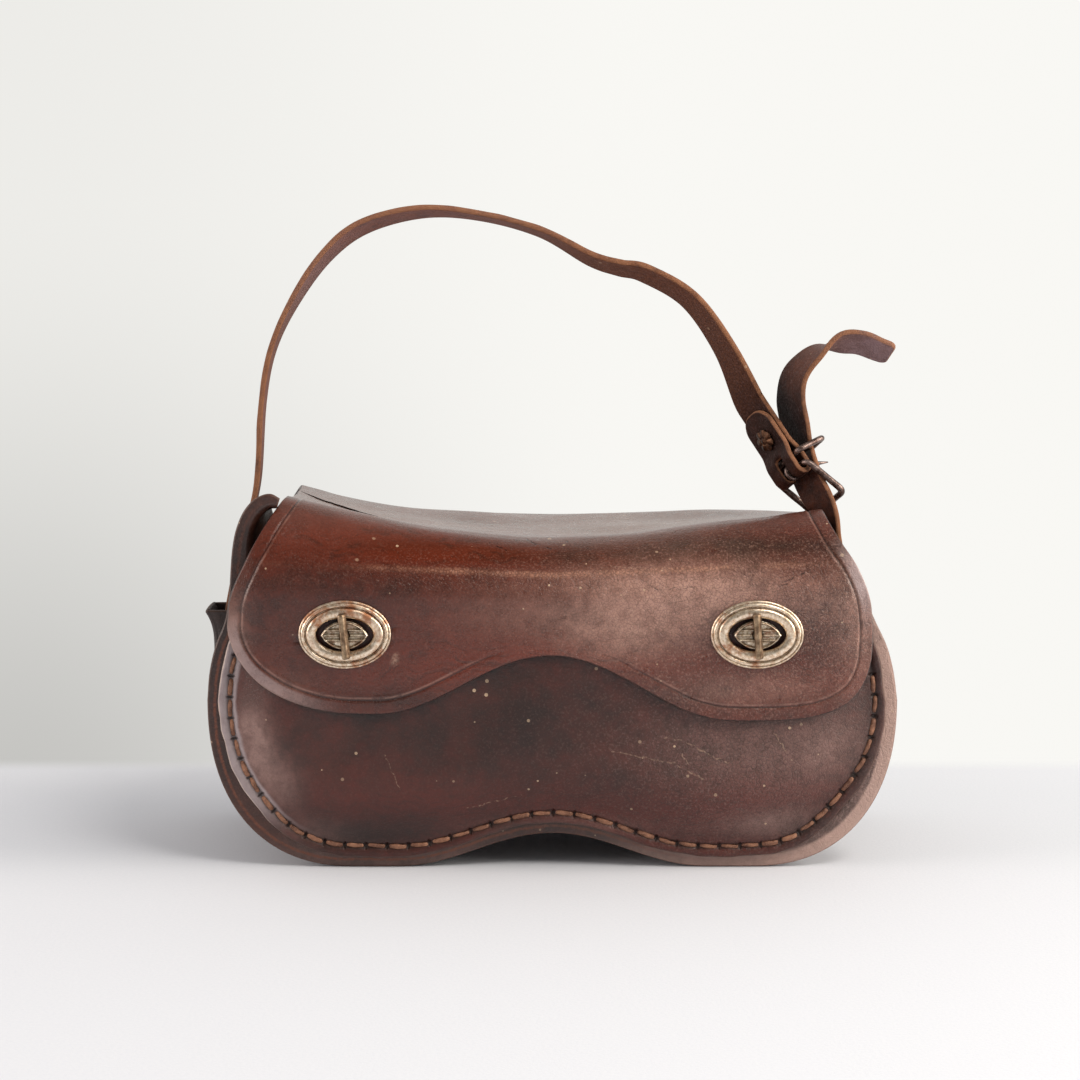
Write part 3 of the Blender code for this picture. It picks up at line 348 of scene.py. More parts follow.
# Nearest place on the stitch line for each point of a panel: the gap to it and the run along it.
def stitchPlace(points, topZ):
    path, at = stitchPath(topZ)
    flat = points[:, [0, 2]]
    gap, along = np.full(len(flat), farAway), np.zeros(len(flat))
    close = flat[:, 1] < topZ + 3.0
    gap[close], along[close] = segmentDistance(flat[close], path[:-1], path[1:], at[:-1])
    return gap, along


# A shallow channel that the thread lies in, deeper at each needle hole, and puckers beside it.
def stitchRelief(gap, along):
    turn = 2.0 * math.pi * along / stitches["pitch"]
    channel = bell(gap, stitches["grooveWidth"]) * (stitches["groove"] + 0.25 * np.cos(turn))
    return bell(gap - 2.6, 1.5) * (0.22 - 0.16 * np.cos(turn)) - channel


# Unit vector from each point towards the nearer end of the spine, or straight to the spine between its ends.
def towardsSpine(points):
    x = np.clip(points[:, 0], -bag["spineHalf"], bag["spineHalf"])
    way = pointsOf(x, points[:, 1], np.maximum(points[:, 2], bag["widestZ"])) - points
    return way / np.maximum(np.linalg.norm(way, axis=1), 1e-6)[:, None]


# Wavy offset of the panels' cut edge, in its plane, which fades inwards: knife work and wear.
def edgeWobble(points, inset, amount, seed):
    flat = points[:, [0, 2]]
    wave = 0.65 * softField(flat, 26.0, seed) + 0.35 * softField(flat, 7.0, seed + 1)
    return towardsSpine(points) * (wave * amount * bell(inset, 3.2))[:, None]


panel = {"thickness": 2.5, "rounding": 0.7, "dent": 0.45, "wobble": 0.45,
         # where the rim has shrunk: x and z of the middle, radius, push
         "shrink": [(-100, 25, 22, 2.8), (98, 24, 20, 4.4)],
         # rows that lean in under the flap: height, share of the dome, left and right distances
         "topRows": [(97.0, 1.0, 112.8, 108.8), (102.0, 0.56, 112.1, 106.6), (105.6, 0.34, 111.6, 104.6)]}


# Middle surface of the front panel: rings below the widest row, then level rows up to the top edge.
def frontPanelMiddle():
    store = newStore()
    flat, inset = ringGrid(shellOutline(bag["panelInset"]), bag["widestZ"])
    addGrid(store, pointsOf(flat[..., 0], -bag["panelY"] - domeHeight(inset), flat[..., 1]), {"rough": inset})
    top, shoulder, edgeZ = panel["topRows"], panel["topRows"][0][0], panel["topRows"][-1][0]
    rows, roughs = [], []
    for z in np.concatenate([np.linspace(bag["widestZ"], shoulder, 19), np.linspace(98.2, 103.2, 5),
                             edgeZ - edgeSteps[5::-1]]):
        lean, left, right = (curveAt(top, z, k) for k in (1, 2, 3)) if z >= shoulder else (1.0, *sideEdges(z))
        x, across = rowPlaces(bag["panelInset"] - left, right - bag["panelInset"])
        rows.append(pointsOf(x, -bag["panelY"] - domeHeight(across) * lean, z))
        roughs.append(np.minimum(across, edgeZ - z))
    addGrid(store, np.stack(rows), {"rough": np.stack(roughs)})
    return joined(store)


# Tone bumps of the front panel: warm is redder dye and grainy is where the grain shows; dark is painted shade under
# the flap's arch, on the lower faces and along the right rim; pale is painted sheen inside the stitches of the left
# lobe and on lit places of the right lobe.
panelTones = {
    "warm": [(10, -58, 14, 60, 30, 14, 0.8), (-50, -58, 22, 40, 30, 12, 0.5), (72, -58, 26, 22, 30, 9, 0.6)],
    "dark": [(-5, -58, 52, 40, 30, 20, 0.9), (-60, -58, 45, 34, 30, 16, 0.45), (112, -52, 40, 6, 30, 40, 0.9),
             (96, -50, 13, 22, 30, 7, 0.8), (-30, -58, 16, 46, 30, 9, 0.8), (-70, -56, 12, 30, 30, 8, 0.7),
             (40, -58, 12, 40, 30, 6, 0.4)],
    "pale": [(-105, -54, 45, 6, 30, 13, 2.0), (-97, -54, 30, 7, 30, 10, 0.9), (-84, -54, 13, 12, 30, 5, 0.4),
             (72, -58, 44, 34, 30, 16, 0.65), (98, -56, 44, 12, 30, 12, 0.5), (10, -52, 15, 40, 30, 4, 0.3),
             (76, -56, 17, 16, 30, 5, 0.9)],
    "grainy": [(60, -58, 40, 50, 40, 40, 1.0)],
}


# Each tone's strength at the points, from its table of bumps.
def tonesOf(points, table):
    return {key: bells(points, rows) for key, rows in table.items()}


# The wet leather has shrunk at both lower corners: pushes towards the lobe's centre that fade like bell curves.
def shrunk(points):
    moved = points.copy()
    for x, z, radius, amount in panel["shrink"]:
        way = np.array([math.copysign(40.0, x), 0.0, bag["widestZ"]]) - points * (1.0, 0.0, 1.0)
        push = amount * bell(np.hypot(points[:, 0] - x, points[:, 2] - z), radius)
        moved += way * (push / (np.linalg.norm(way, axis=1) + 1.0))[:, None]
    return moved


# Nothing on the flat rim, one on the dome.
def awayFromRim(inset):
    return smooth01((inset - 6.0) / 14.0)


# The tone on the left's flat rim is a painted sheen; a line of painted shadow lies under the flap's hem.
def makeFrontPanel():
    middle, triangles, extras = frontPanelMiddle()
    rough = extras["rough"]
    middle = middle + edgeWobble(middle, rough, panel["wobble"], 11)
    middle[:, 1] += panel["dent"] * softField(middle, 42.0, 5) * awayFromRim(rough)
    gap, along = stitchPlace(middle, stitches["topFront"])
    tones = tonesOf(middle, panelTones)
    rimSheen = smooth01((-middle[:, 0] - 52.0) / 44.0) * smooth01((middle[:, 2] - 10.0) / 16.0)
    # painted shadow: a dark line along the flap's hem is raised into the panel's dark tone
    hem = sheetOutline()
    close = np.abs(middle[:, 2] - 65.0) < 28.0
    hemShadow = bell(segmentDistance(middle[close][:, [0, 2]], hem[:-1], hem[1:])[0], 1.3)
    tones["dark"][close] = np.maximum(tones["dark"][close], 1.5 * hemShadow)
    extras = {**extras, **tones, "seam": gap, "run": along, "rimSheen": rimSheen}
    return leather("front_panel_leather", shrunk(middle), triangles, panel["thickness"], panel["rounding"],
                   np.array([0.0, -1.0, 0.0]), extras, stitchRelief(gap, along))


sheet = {
    "thickness": 2.5, "rounding": 0.75, "topY": 36.0, "sag": 1.6, "shoulderZ": 97.0, "flapY": 60.6,
    "widestZ": 88.0, "cornerX": 67.0, "notch": 21.6, "notchHalf": 62.0, "droop": 3.0,
    "left": (112.6, 56.8, 2.0), "right": (111.0, 54.4, 3.2), "backShoulder": 103.0,
    "crease": 5.0, "creaseDepth": 0.42, "creaseWidth": 0.42, "bendZ": 105.2, "bendRise": 0.043,
    "hole": (10.8, 6.8), "dent": (0.5, 0.35),
    "locks": {"left": (-71.6, 85.0), "right": (70.6, 85.0)},
    # middle heights of the top's front and back bends: x, front, back
    "topRows": [(-94, 129.3, 125.6), (-78, 125.4, 121.4), (-62, 121.6, 118), (-36, 117.5, 115.5),
                (-18, 115.2, 114.8), (0, 114.2, 114.4), (18, 114.9, 114.7), (43, 118, 115.5),
                (62, 120.6, 115.9), (80, 122.6, 115.8), (95, 124.4, 115.2)],
    # distance along the sheet at each stage, and the number of rows from each stage to the next
    "runs": (0, 9, 56, 128, 160, 204), "rows": (6, 22, 80, 12, 20),
    # a crack across the top's left end: x, y and half of its width
    "crack": [(-92.5, 18.0, 0.1), (-86.0, 7.0, 0.4), (-79.0, -4.0, 0.5), (-70.0, -17.0, 0.55), (-62.0, -31.0, 0.1)],
    # side edges along the sheet: 0 flap's widest row, 1 shoulder, 2 front bend's top, 3 back bend's top,
    # 4 back shoulder, 5 back's widest row
    "edgeRows": [(0, -112.6, 111.0), (1, -111.6, 109.7), (1.25, -106.2, 105.4), (1.5, -100.6, 99.6),
                 (1.75, -95.9, 96.2), (2, -93.8, 95.2), (2.333, -93.9, 94.2), (2.667, -94.2, 93.6),
                 (3, -94.6, 93.4), (3.25, -96.2, 94.6), (3.5, -99.4, 96.6), (3.75, -103.2, 99.4),
                 (4, -106.4, 102.2), (4.138, -108.6, 104.6), (4.368, -110.4, 109.0),
                 (4.552, -113.6, 112.8), (4.759, -115.8, 115.3), (5, -116.8, 116.8)],
}


# The flap's depth: flat, and drawn back near its side edges.
def flapDepth(x):
    return -sheet["flapY"] + sheet["droop"] * smooth01((np.abs(x) - 98.0) / 14.0)


# Height of the top at x, from its front bend (share 0) to its back bend (share 1): a straight line between the
# two bends' heights, less a parabolic sag.
def topHeight(x, share):
    front, back = curveAt(sheet["topRows"], x), curveAt(sheet["topRows"], x, 2)
    return front + (back - front) * share - sheet["sag"] * 4.0 * share * (1.0 - share)


# A row of the sheet at stage s: it hangs, bends over the front as a quarter ellipse, runs back along the top,
# bends down as another quarter ellipse and hangs over the domed back.
def sheetRow(s):
    edges = np.array(sheet["edgeRows"])
    edges[:, 0], at = (np.interp(e, range(6), sheet["runs"]) for e in (edges[:, 0], s))
    x, inset = rowPlaces(curveAt(edges, at), curveAt(edges, at, 2))
    topY, front, back = sheet["topY"], sheet["shoulderZ"], sheet["backShoulder"]
    backY = bag["panelY"] + domeHeight(inset)
    if s <= 1.0:
        y, z = flapDepth(x), sheet["widestZ"] + (front - sheet["widestZ"]) * s
    elif s <= 2.0:
        turn = 0.5 * math.pi * (s - 1.0)
        y = -topY - (-flapDepth(x) - topY) * math.cos(turn)
        z = front + (topHeight(x, 0.0) - front) * math.sin(turn)
    elif s <= 3.0:
        y, z = topY * (2.0 * (s - 2.0) - 1.0), topHeight(x, s - 2.0)
    elif s <= 4.0:
        turn = 0.5 * math.pi * (4.0 - s)
        y = topY + (backY - topY) * math.cos(turn)
        z = back + (topHeight(x, 1.0) - back) * math.sin(turn)
    else:
        y, z = backY, back + (bag["widestZ"] - back) * (s - 4.0)
    return pointsOf(x, y, z), inset


# The flap's lower outline, with the notch between its two lobes.
def sheetOutline():
    return lowerOutline(sheet["left"], sheet["right"], sheet["widestZ"], sheet["cornerX"],
                        sheet["notch"], sheet["notchHalf"])


# Middle surface of flap, top and back: the flap's rings, the rows over the top, the back's rings.
def sheetMiddle():
    store = newStore()
    flat, inset = ringGrid(sheetOutline(), sheet["widestZ"])
    addGrid(store, pointsOf(flat[..., 0], flapDepth(flat[..., 0]), flat[..., 1]), {"rough": inset, "stage": 0.0})
    stages = np.concatenate([np.linspace(k, k + 1, count)[:-1] for k, count in enumerate(sheet["rows"])] + [[5.0]])
    rows, insets = zip(*(sheetRow(s) for s in stages))
    addGrid(store, np.stack(rows), {"rough": np.stack(insets), "stage": stages[:, None]})
    flat, inset = ringGrid(shellOutline(bag["panelInset"]), bag["widestZ"])
    back = pointsOf(flat[..., 0], bag["panelY"] + domeHeight(inset), flat[..., 1])
    addGrid(store, back[:, ::-1], {"rough": inset[:, ::-1], "stage": 6.0})
    return joined(store)


# Tone bumps of the flap, top and back: warm is redder dye, grainy is where the grain shows and matt lowers the
# shine; dark darkens patches on the flap and along the top's front bend; pale is painted highlight on the flap's
# left border and its lit right half; the top's tint is a painted sheen of the bright sky seen at a grazing angle.
sheetTones = {
    "warm": [(-60, -56, 116, 60, 16, 8, 1.0), (10, -56, 112, 70, 16, 6, 1.0), (70, -54, 117, 30, 16, 6, 0.7),
             (-40, -61, 72, 44, 14, 14, 0.75), (40, -61, 74, 36, 14, 6, 0.9), (95, -60, 68, 26, 14, 9, 0.7),
             (0, -61, 80, 22, 14, 8, 0.5)],
    "dark": [(-62, -61, 100, 40, 10, 7, 0.1), (-71, -61, 68, 26, 10, 7, 0.3), (-10, -61, 94, 26, 10, 10, 0.1),
             (88, -50, 114, 36, 16, 6, 0.9), (40, -54, 111, 40, 14, 4.5, 0.9), (92, -60, 82, 9, 10, 12, 0.4),
             (-62, -56, 113, 46, 14, 6, 0.3), (0, -56, 110, 22, 14, 4, 0.5), (-56, -61, 62.5, 26, 10, 4, 0.8),
             (-94, -61, 90, 12, 10, 14, 0.3), (20, -50, 114.5, 90, 20, 2.5, 0.5),
             (57, -61, 66, 5, 10, 4, 0.7), (64, -61, 72, 30, 14, 4, 0.25)],
    "pale": [(-111, -60, 76, 5, 14, 20, 0.8), (-100, -60, 62, 12, 14, 7, 0.6), (50, -61, 98, 34, 14, 12, 1.0),
             (24, -61, 86, 20, 14, 10, 0.75), (108, -58, 92, 12, 14, 22, 0.5), (36, -61, 102, 34, 10, 4, 0.4),
             (88, -61, 98, 14, 10, 8, 0.2), (70, -61, 66, 26, 10, 6, 0.35), (-10, -61, 92, 24, 10, 8, 0.25)],
    "grainy": [(70, -50, 90, 66, 60, 40, 1.1), (-20, -60, 106, 70, 20, 6, 0.4)],
    "matt": [(-60, -54, 114, 60, 18, 10, 0.9), (10, -52, 110, 80, 18, 7, 1.0), (80, -52, 114, 30, 18, 9, 0.8),
             (-66, 0, 124, 34, 36, 10, 0.9)],
    "topSheen": [(-60, 4, 124, 60, 40, 14, 1.0), (30, 4, 118, 50, 44, 14, 1.3)],
}


# The smallest of the distances from the locks' middles, as shares of the hole's half axes; behind the flap it is
# large.
def holeDistance(points):
    rows = [np.hypot((points[:, 0] - x) / sheet["hole"][0], (points[:, 2] - z) / sheet["hole"][1])
            for x, z in sheet["locks"].values()]
    return np.where(points[:, 1] < -40.0, np.min(rows, axis=0), farAway)


# The flap, top and back in one: holes are cut for the locks, the back gets its seam's channel, and the flap gets
# a creased line beside its edge, with a raised lip, and a worn ridge where it bends.
def makeSheet():
    middle, triangles, extras = sheetMiddle()
    triangles = triangles[holeDistance(middle[triangles].mean(1)) >= 1.0]
    inset, stage = extras["rough"], extras["stage"]
    extras["rough"] = np.where(holeDistance(middle) < 1.6, 0.0, inset)
    behind = stage > 4.0
    wobble = edgeWobble(middle, inset, panel["wobble"], 21)
    middle = middle + wobble * np.select([stage > 4.2, stage < 1.0], [1.0, 0.4], 0.0)[:, None]
    deep = awayFromRim(inset)
    middle[:, 1] += behind * sheet["dent"][0] * softField(middle, 44.0, 8) * deep
    middle[:, 2] += ((stage > 1.9) & (stage < 3.1)) * sheet["dent"][1] * softField(middle, 34.0, 9) * deep
    gap, along = stitchPlace(middle, stitches["topBack"])
    gap = np.where(behind, gap, farAway)
    bendAt = sheet["bendZ"] + sheet["bendRise"] * np.abs(middle[:, 0])
    relief = behind * stitchRelief(gap, along) + 0.28 * bell(middle[:, 2] - bendAt, 1.5) * (stage < 2.0)
    flapSide = smooth01((2.4 - stage) / 0.4)

    def lift(edge):
        crease = bell(edge - sheet["crease"], sheet["creaseWidth"])
        lip = bell(edge - sheet["crease"] - 0.9, 0.5)
        return (0.2 * lip - sheet["creaseDepth"] * crease) * flapSide + relief

    outside = np.select([(stage < 1.5)[:, None], (stage < 3.5)[:, None]], [[0.0, -1.0, 0.0], [0.0, 0.0, 1.0]],
                        [0.0, 1.0, 0.0])
    # painted sheen along the flap's left border, and a painted highlight on the right shoulder's edge
    rimSheen = smooth01((-middle[:, 0] - 70.0) / 34.0) * smooth01((96.0 - middle[:, 2]) / 16.0) * 0.8
    rimSheen += 1.3 * smooth01((middle[:, 0] - 96.0) / 10.0) * bell(middle[:, 2] - 104.0, 11.0)
    extras = {**extras, **tonesOf(middle, sheetTones), "seam": gap, "run": along, "front": flapSide,
              "rimSheen": rimSheen * flapSide}
    return leather("wrap_leather", middle, triangles, sheet["thickness"], sheet["rounding"], outside, extras, lift)


gusset = {
    "thickness": 2.3, "rounding": 0.7, "rim": 9.0, "rimY": 47.35,
    # rim's corner as two quadratic curves: depth, and how far in as a share of the rim
    "corner": ((47.35, 47.1, 45.55), (0.76, 0.95, 1.0)),
    "bulgeBottom": 3.0, "bulgeSide": 4.5, "bulgeEar": 1.5, "earLength": {"left": 36.0, "right": 26.0}, "dent": 0.35,
    # share of the bulge at a depth y from the middle
    "bulgeRows": [(0.0, 1.0), (20.0, 0.85), (38.0, 0.30), (45.55, 0.0)],
    # how much of each ear's length stands at a depth y
    "leftKeep": [(-47.35, 1.0), (-40, 0.96), (-28, 0.74), (-10, 0.6), (15, 0.5), (36, 0.3), (47.35, 0.05)],
    "rightKeep": [(-47.35, 1.0), (0, 1.0), (15, 0.98), (31, 0.86), (40, 0.56), (47.35, 0.05)],
    # ears, going up from the last side row: wall x, wall z, edge x, edge z
    "leftEar": [(-103.8, 97.0, -112.8, 97.0), (-104.6, 105, -112.3, 105.5), (-105.3, 112, -111.6, 113),
                (-105.2, 117.5, -110.3, 119.5), (-104, 122.0, -107.9, 125.4), (-102.2, 125.0, -104.8, 129.4),
                (-100.0, 127.0, -101.4, 131.6), (-97.8, 128.0, -97.9, 132.2), (-95.6, 128.0, -94.8, 130.6)],
    "rightEar": [(99.8, 97.0, 108.8, 97.0), (98.4, 103, 105, 104), (97.4, 107, 102.4, 109),
                 (96, 110.4, 99.8, 113), (93.4, 112, 95.4, 115), (90.4, 112.2, 90.6, 114.8),
                 (87.8, 110.8, 87.4, 112.4)],
}


# Stations of the gusset strip at a depth y, from the left ear's tip round the bottom to the right ear's: wall and
# edge point, how much the wall bulges there, and the distance from the tip. The sides and the bottom count as far.
def gussetStations(y):
    rim, side, z = gusset["rim"], gusset["bulgeSide"], np.linspace(97.0, bag["widestZ"], 22)[:-1]
    ears = []
    for name in ("left", "right"):
        ear, length = np.array(gusset[name + "Ear"]), gusset["earLength"][name]
        share = np.concatenate([np.linspace(0.0, 0.955, 30)[1:], 1.0 - edgeSteps[5::-1] / length])
        place = share * curveAt(gusset[name + "Keep"], y)
        table = np.column_stack([np.arange(len(ear)), ear])
        rows = np.stack([curveAt(table, place * (len(ear) - 1), k) for k in (1, 2, 3, 4)], -1)
        ears.append((rows, side + (gusset["bulgeEar"] - side) * smooth01(place * 3.0), (1.0 - share) * length))
    left, right = sideEdges(z)
    edge, wall = shellOutline(0.0), shellOutline(rim)
    lowBulge = gusset["bulgeBottom"] + (side - gusset["bulgeBottom"]) * smooth01((np.abs(edge[:, 0]) - 76.0) / 30.0)
    sides, far = np.full(len(z), side), np.full(len(z), farAway)
    rows = [ears[0][0][::-1], np.stack([rim - left, z, -left, z], -1), np.concatenate([wall, edge], -1),
            np.stack([right - rim, z, right, z], -1)[::-1], ears[1][0]]
    bulge = [ears[0][1][::-1], sides, lowBulge, sides, ears[1][1]]
    tip = [ears[0][2][::-1], far, np.full(len(edge), farAway), far, ears[1][2]]
    return np.concatenate(rows), np.concatenate(bulge), np.concatenate(tip)


# Section across the strip: a flat rim from the cut edge inwards, a rounded corner, then the wall, whose
# bulge grows towards the middle. Its rows are depth, share of the rim inwards, share of the bulge, and distance
# from the cut edge.
def gussetSection():
    rimSteps = np.concatenate([edgeSteps[:7], [2.4, 3.2, 4.1, 5.0, 5.9, 6.6]])
    half = [(gusset["rimY"], step / gusset["rim"], 0.0, step) for step in rimSteps]
    t = np.linspace(0.0, 1.0, 6)
    y, inward = ((1 - t) ** 2 * a + 2 * t * (1 - t) * b + t**2 * c for a, b, c in gusset["corner"])
    half += [(a, b, 0.0, farAway) for a, b in zip(y, inward)]
    half += [(depth, 1.0, float(curveAt(gusset["bulgeRows"], depth)), farAway)
             for depth in np.linspace(43.0, 0.0, 16)]
    return np.array([(-a, b, c, d) for a, b, c, d in half] + half[-2::-1])


# Tone bumps of the gusset: warm is redder dye, grainy is where the grain shows and lined marks the orange line
# along the edge; dark is painted shade on the left side and under the arch; the tone at the right rim and pale are
# painted highlights on the lit band at the right and along the bottom.
gussetTones = {
    "warm": [(-100, -48, 20, 40, 10, 20, 0.6), (0, 0, 0, 90, 40, 20, 0.3)],
    "dark": [(-118, -30, 60, 16, 60, 60, 0.6), (-104, -40, 120, 14, 20, 14, 0.3), (0, 0, 0, 110, 60, 10, 0.2)],
    "rimSheen": [(118, -48, 60, 14, 12, 44, 1.3), (104, -48, 18, 22, 12, 22, 1.1), (70, -48, 3, 44, 12, 9, 0.7)],
    "pale": [(118, -48, 68, 12, 12, 34, 0.9), (104, -48, 20, 20, 12, 22, 0.35), (70, -48, 5, 40, 12, 9, 0.3),
             (-60, -48, 4, 40, 12, 6, 0.3)],
    "lined": [(-116, -48, 50, 16, 10, 70, 1.0), (-70, -48, 6, 60, 10, 12, 0.9), (0, -48, 12, 60, 10, 12, 0.6)],
    "grainy": [(110, -48, 50, 40, 14, 60, 1.0)],
}


# The strip is the section carried round the stations; its walls have soft dents.
def makeGusset():
    rows, rough, rim = [], [], []
    for y, inward, bulge, fromEdge in gussetSection():
        stations, bulges, tip = gussetStations(y)
        share = inward - bulge * bulges / gusset["rim"]
        x, z = (stations[:, k + 2] + (stations[:, k] - stations[:, k + 2]) * share for k in (0, 1))
        rows.append(pointsOf(x, y, z))
        rough.append(np.minimum(fromEdge, tip))
        rim.append(np.full(len(x), float(fromEdge < farAway)))
    store = newStore()
    addGrid(store, np.stack(rows), {"rough": np.stack(rough), "rim": np.stack(rim)})
    middle, triangles, extras = joined(store)
    outside = middle - pointsOf(np.clip(middle[:, 0], -60, 60), middle[:, 1], bag["widestZ"])
    dent = gusset["dent"] * softField(middle, 38.0, 31) * smooth01((44.0 - np.abs(middle[:, 1])) / 8.0)
    dent *= 1.0 - extras["rim"]
    middle = middle + outside * (dent / np.maximum(np.linalg.norm(outside, axis=1), 1.0))[:, None]
    extras = {**extras, **tonesOf(middle, gussetTones)}
    return leather("gusset_leather", middle, triangles, gusset["thickness"], gusset["rounding"], outside, extras)


straps = {
    "thickness": 2.0, "rounding": 0.6, "half": 8.0, "step": 1.25,
    # centre line of the long strap from its sewn end to the buckle: x, y, z, tilt of the near edge
    "long": [(-118.2, 0, 44, 0), (-119.5, 0, 60, 0), (-119.1, 0, 72, 0), (-117.8, 0, 85, 0), (-114.6, 0, 102, -1),
             (-110.4, 0, 117.5, -2), (-106.9, 0, 133, -2), (-104.9, .2, 161, -1), (-101.2, .6, 179.9, 1),
             (-93.3, 1, 196.9, 6), (-81.9, 1.5, 213.1, 11), (-68.2, 2, 223.9, 15), (-47.4, 2.5, 229.3, 12),
             (-26.2, 3, 227.9, 8), (-4, 3.5, 222, 9), (14.1, 4, 212.4, 15), (24.6, 4.3, 209.1, 18),
             (33.6, 4.6, 207.2, 21), (50, 5.4, 197.6, 22), (62.9, 6.2, 180, 25)],
    "short": [(118.2, 0, 44, 0), (119.4, 0, 58, 0), (118, 0, 70, 0), (115.4, 0, 79, 0), (111.9, 0, 87, -1),
              (108, 0, 95.5, -3), (104.4, -.4, 104, -7), (101, -2.8, 114.4, -17), (97.7, -5.3, 123.9, -32),
              (93.9, -1.6, 131, -33), (91.6, 1.6, 137.4, -34), (90.2, 4.5, 141.9, -35), (88.8, 4, 151.3, -33),
              (87, 1.6, 161, -31), (87.6, .6, 168.5, -28), (90.8, 0, 174.3, -21), (96.7, 0, 179.4, -9),
              (104.5, 0, 182.3, 27), (111.5, 0, 182.3, 31), (118.4, 0, 179.7, 29), (123, 0, 178.1, 28)],
    # side view of the fold round the heel bar: along the strap, out of its face
    "fold": [(-30, 1.15), (-20, 1.15), (-11, 1.15), (-8, 1.75), (-5, 2.57), (0, 2.65)],
    "tab": 26.0, "slotHalf": 1.9, "slotReach": 5.5, "tabCorner": 6.8, "freeCorner": 3.0, "sewnCorner": 2.0,
}
buckle = {
    "bar": (87.4, -2.0, 135.3), "down": (0.53, -0.25, -0.81), "tilt": 39.0, "wire": 1.2, "half": 10.0,
    "length": 17.6, "opening": 23.0, "bend": 2.6, "prong": 0.9, "prongLength": 17.0, "prongTurn": 73.5,
    "prongTip": 0.25, "keeperWire": 1.1, "keeperBack": -4.8, "keeperOut": 13.2,
    "rivetBack": -15.0, "rivetR": 3.9, "petals": 7,
}


# Vectors made one long.
def unit(vector):
    vector = np.asarray(vector, float)
    return vector / np.linalg.norm(vector, axis=-1, keepdims=True)


# Towards the strap's near edge, square to its run: the outward direction turned by the tilt off -Y.
def nearDirection(run, tilt):
    run = unit(run)
    outward = unit(np.stack([-run[..., 2], np.zeros(run.shape[:-1]), run[..., 0]], -1))
    angle = np.radians(tilt)[..., None]
    near = outward * np.sin(angle) - np.array([0.0, 1.0, 0.0]) * np.cos(angle)
    return unit(near - run * (near * run).sum(-1, keepdims=True))


buckleDown = unit(buckle["down"])
buckleNear = nearDirection(buckleDown, np.array(buckle["tilt"]))
buckleOut = unit(np.cross(buckleNear, buckleDown))
buckleBar = np.array(buckle["bar"])


# A point in the buckle's own frame: along the strap, out of its face, towards the near edge.
def bucklePoint(along, out, near=0.0):
    along, out, near = np.broadcast_arrays(along, out, near)
    return (buckleBar + along[..., None] * buckleDown + out[..., None] * buckleOut
            + near[..., None] * buckleNear)


# Smooth curve through rows (Catmull-Rom): each stretch is a cubic of its two ends and their neighbours.
def throughRows(rows, steps):
    table = np.array(rows, float)
    padded = np.vstack([2 * table[0] - table[1], table, 2 * table[-1] - table[-2]])
    t = np.arange(steps)[:, None, None] / steps
    p0, p1, p2, p3 = padded[:-3], padded[1:-2], padded[2:-1], padded[3:]
    out = 0.5 * (2 * p1 + (p2 - p0) * t + (2 * p0 - 5 * p1 + 4 * p2 - p3) * t**2
                 + (3 * p1 - p0 - 3 * p2 + p3) * t**3)
    return np.vstack([out.transpose(1, 0, 2).reshape(-1, table.shape[1]), table[-1]])


# Reads a path, and the values along it, again at given distances.
def atDistances(path, values, at):
    run = runAlong(path)
    keep = np.insert(np.diff(run) > 1e-9, 0, True)
    return rowsAt(path[keep], run[keep], at), rowsAt(values[keep], run[keep], at)


# Ribbon of leather along a path: rows lie a step apart, closer near both ends, and each row reaches half a
# width to both sides along the near direction. Both ends have rounded corners. A slot is cut at the buckle's bar.
def ribbon(name, path, nears, corners, tones, seed, slot=False):
    total, ends, half = runAlong(path)[-1], edgeSteps[:8], straps["half"]
    at = np.concatenate([ends, np.arange(3.4, total - 3.4, straps["step"]), (total - ends)[::-1]])
    points, near = atDistances(path, nears, at)
    near = unit(near)
    halves = np.full(len(at), half)
    for distance, corner in ((at, corners[0]), (total - at, corners[1])):
        inside = np.clip(corner - distance, 0.0, corner)
        halves = np.minimum(halves, half - corner + np.sqrt(corner**2 - inside**2))
    side = np.array([0, .05, .19, .42, .72, 1.1, 1.7, 2.6, 3.7, 4.9, 6.1, 7.1]) / half
    across = np.concatenate([side - 1.0, [0.0], (1.0 - side)[::-1]])
    halves = halves * (1.0 + 0.012 * softField(at[:, None] * [1.0, 0.0], 30.0, seed))
    grid = points[:, None] + near[:, None] * (across * halves[:, None])[..., None]
    store = newStore()
    rough = np.minimum((1.0 - np.abs(across)) * half, np.minimum(at, total - at)[:, None])
    addGrid(store, grid, {"rough": rough, "run": at[:, None]})
    middle, triangles, extras = joined(store)
    if slot:
        centre = np.abs((middle[triangles].mean(1) - buckleBar) @ np.stack([buckleNear, buckleDown, buckleOut], -1))
        triangles = triangles[~(centre < (straps["slotHalf"], straps["slotReach"], straps["slotReach"])).all(1)]
        extras["rough"] = np.where(np.linalg.norm(middle - buckleBar, axis=1) < 14.0, 0.0, extras["rough"])
    outside = rowsAt(unit(np.cross(near, np.gradient(points, axis=0))), at, extras["run"])
    return leather(name, middle, triangles, straps["thickness"], straps["rounding"], outside,
                   {**extras, **tonesOf(middle, tones)}, 0.10 * softField(middle, 9.0, seed + 3))


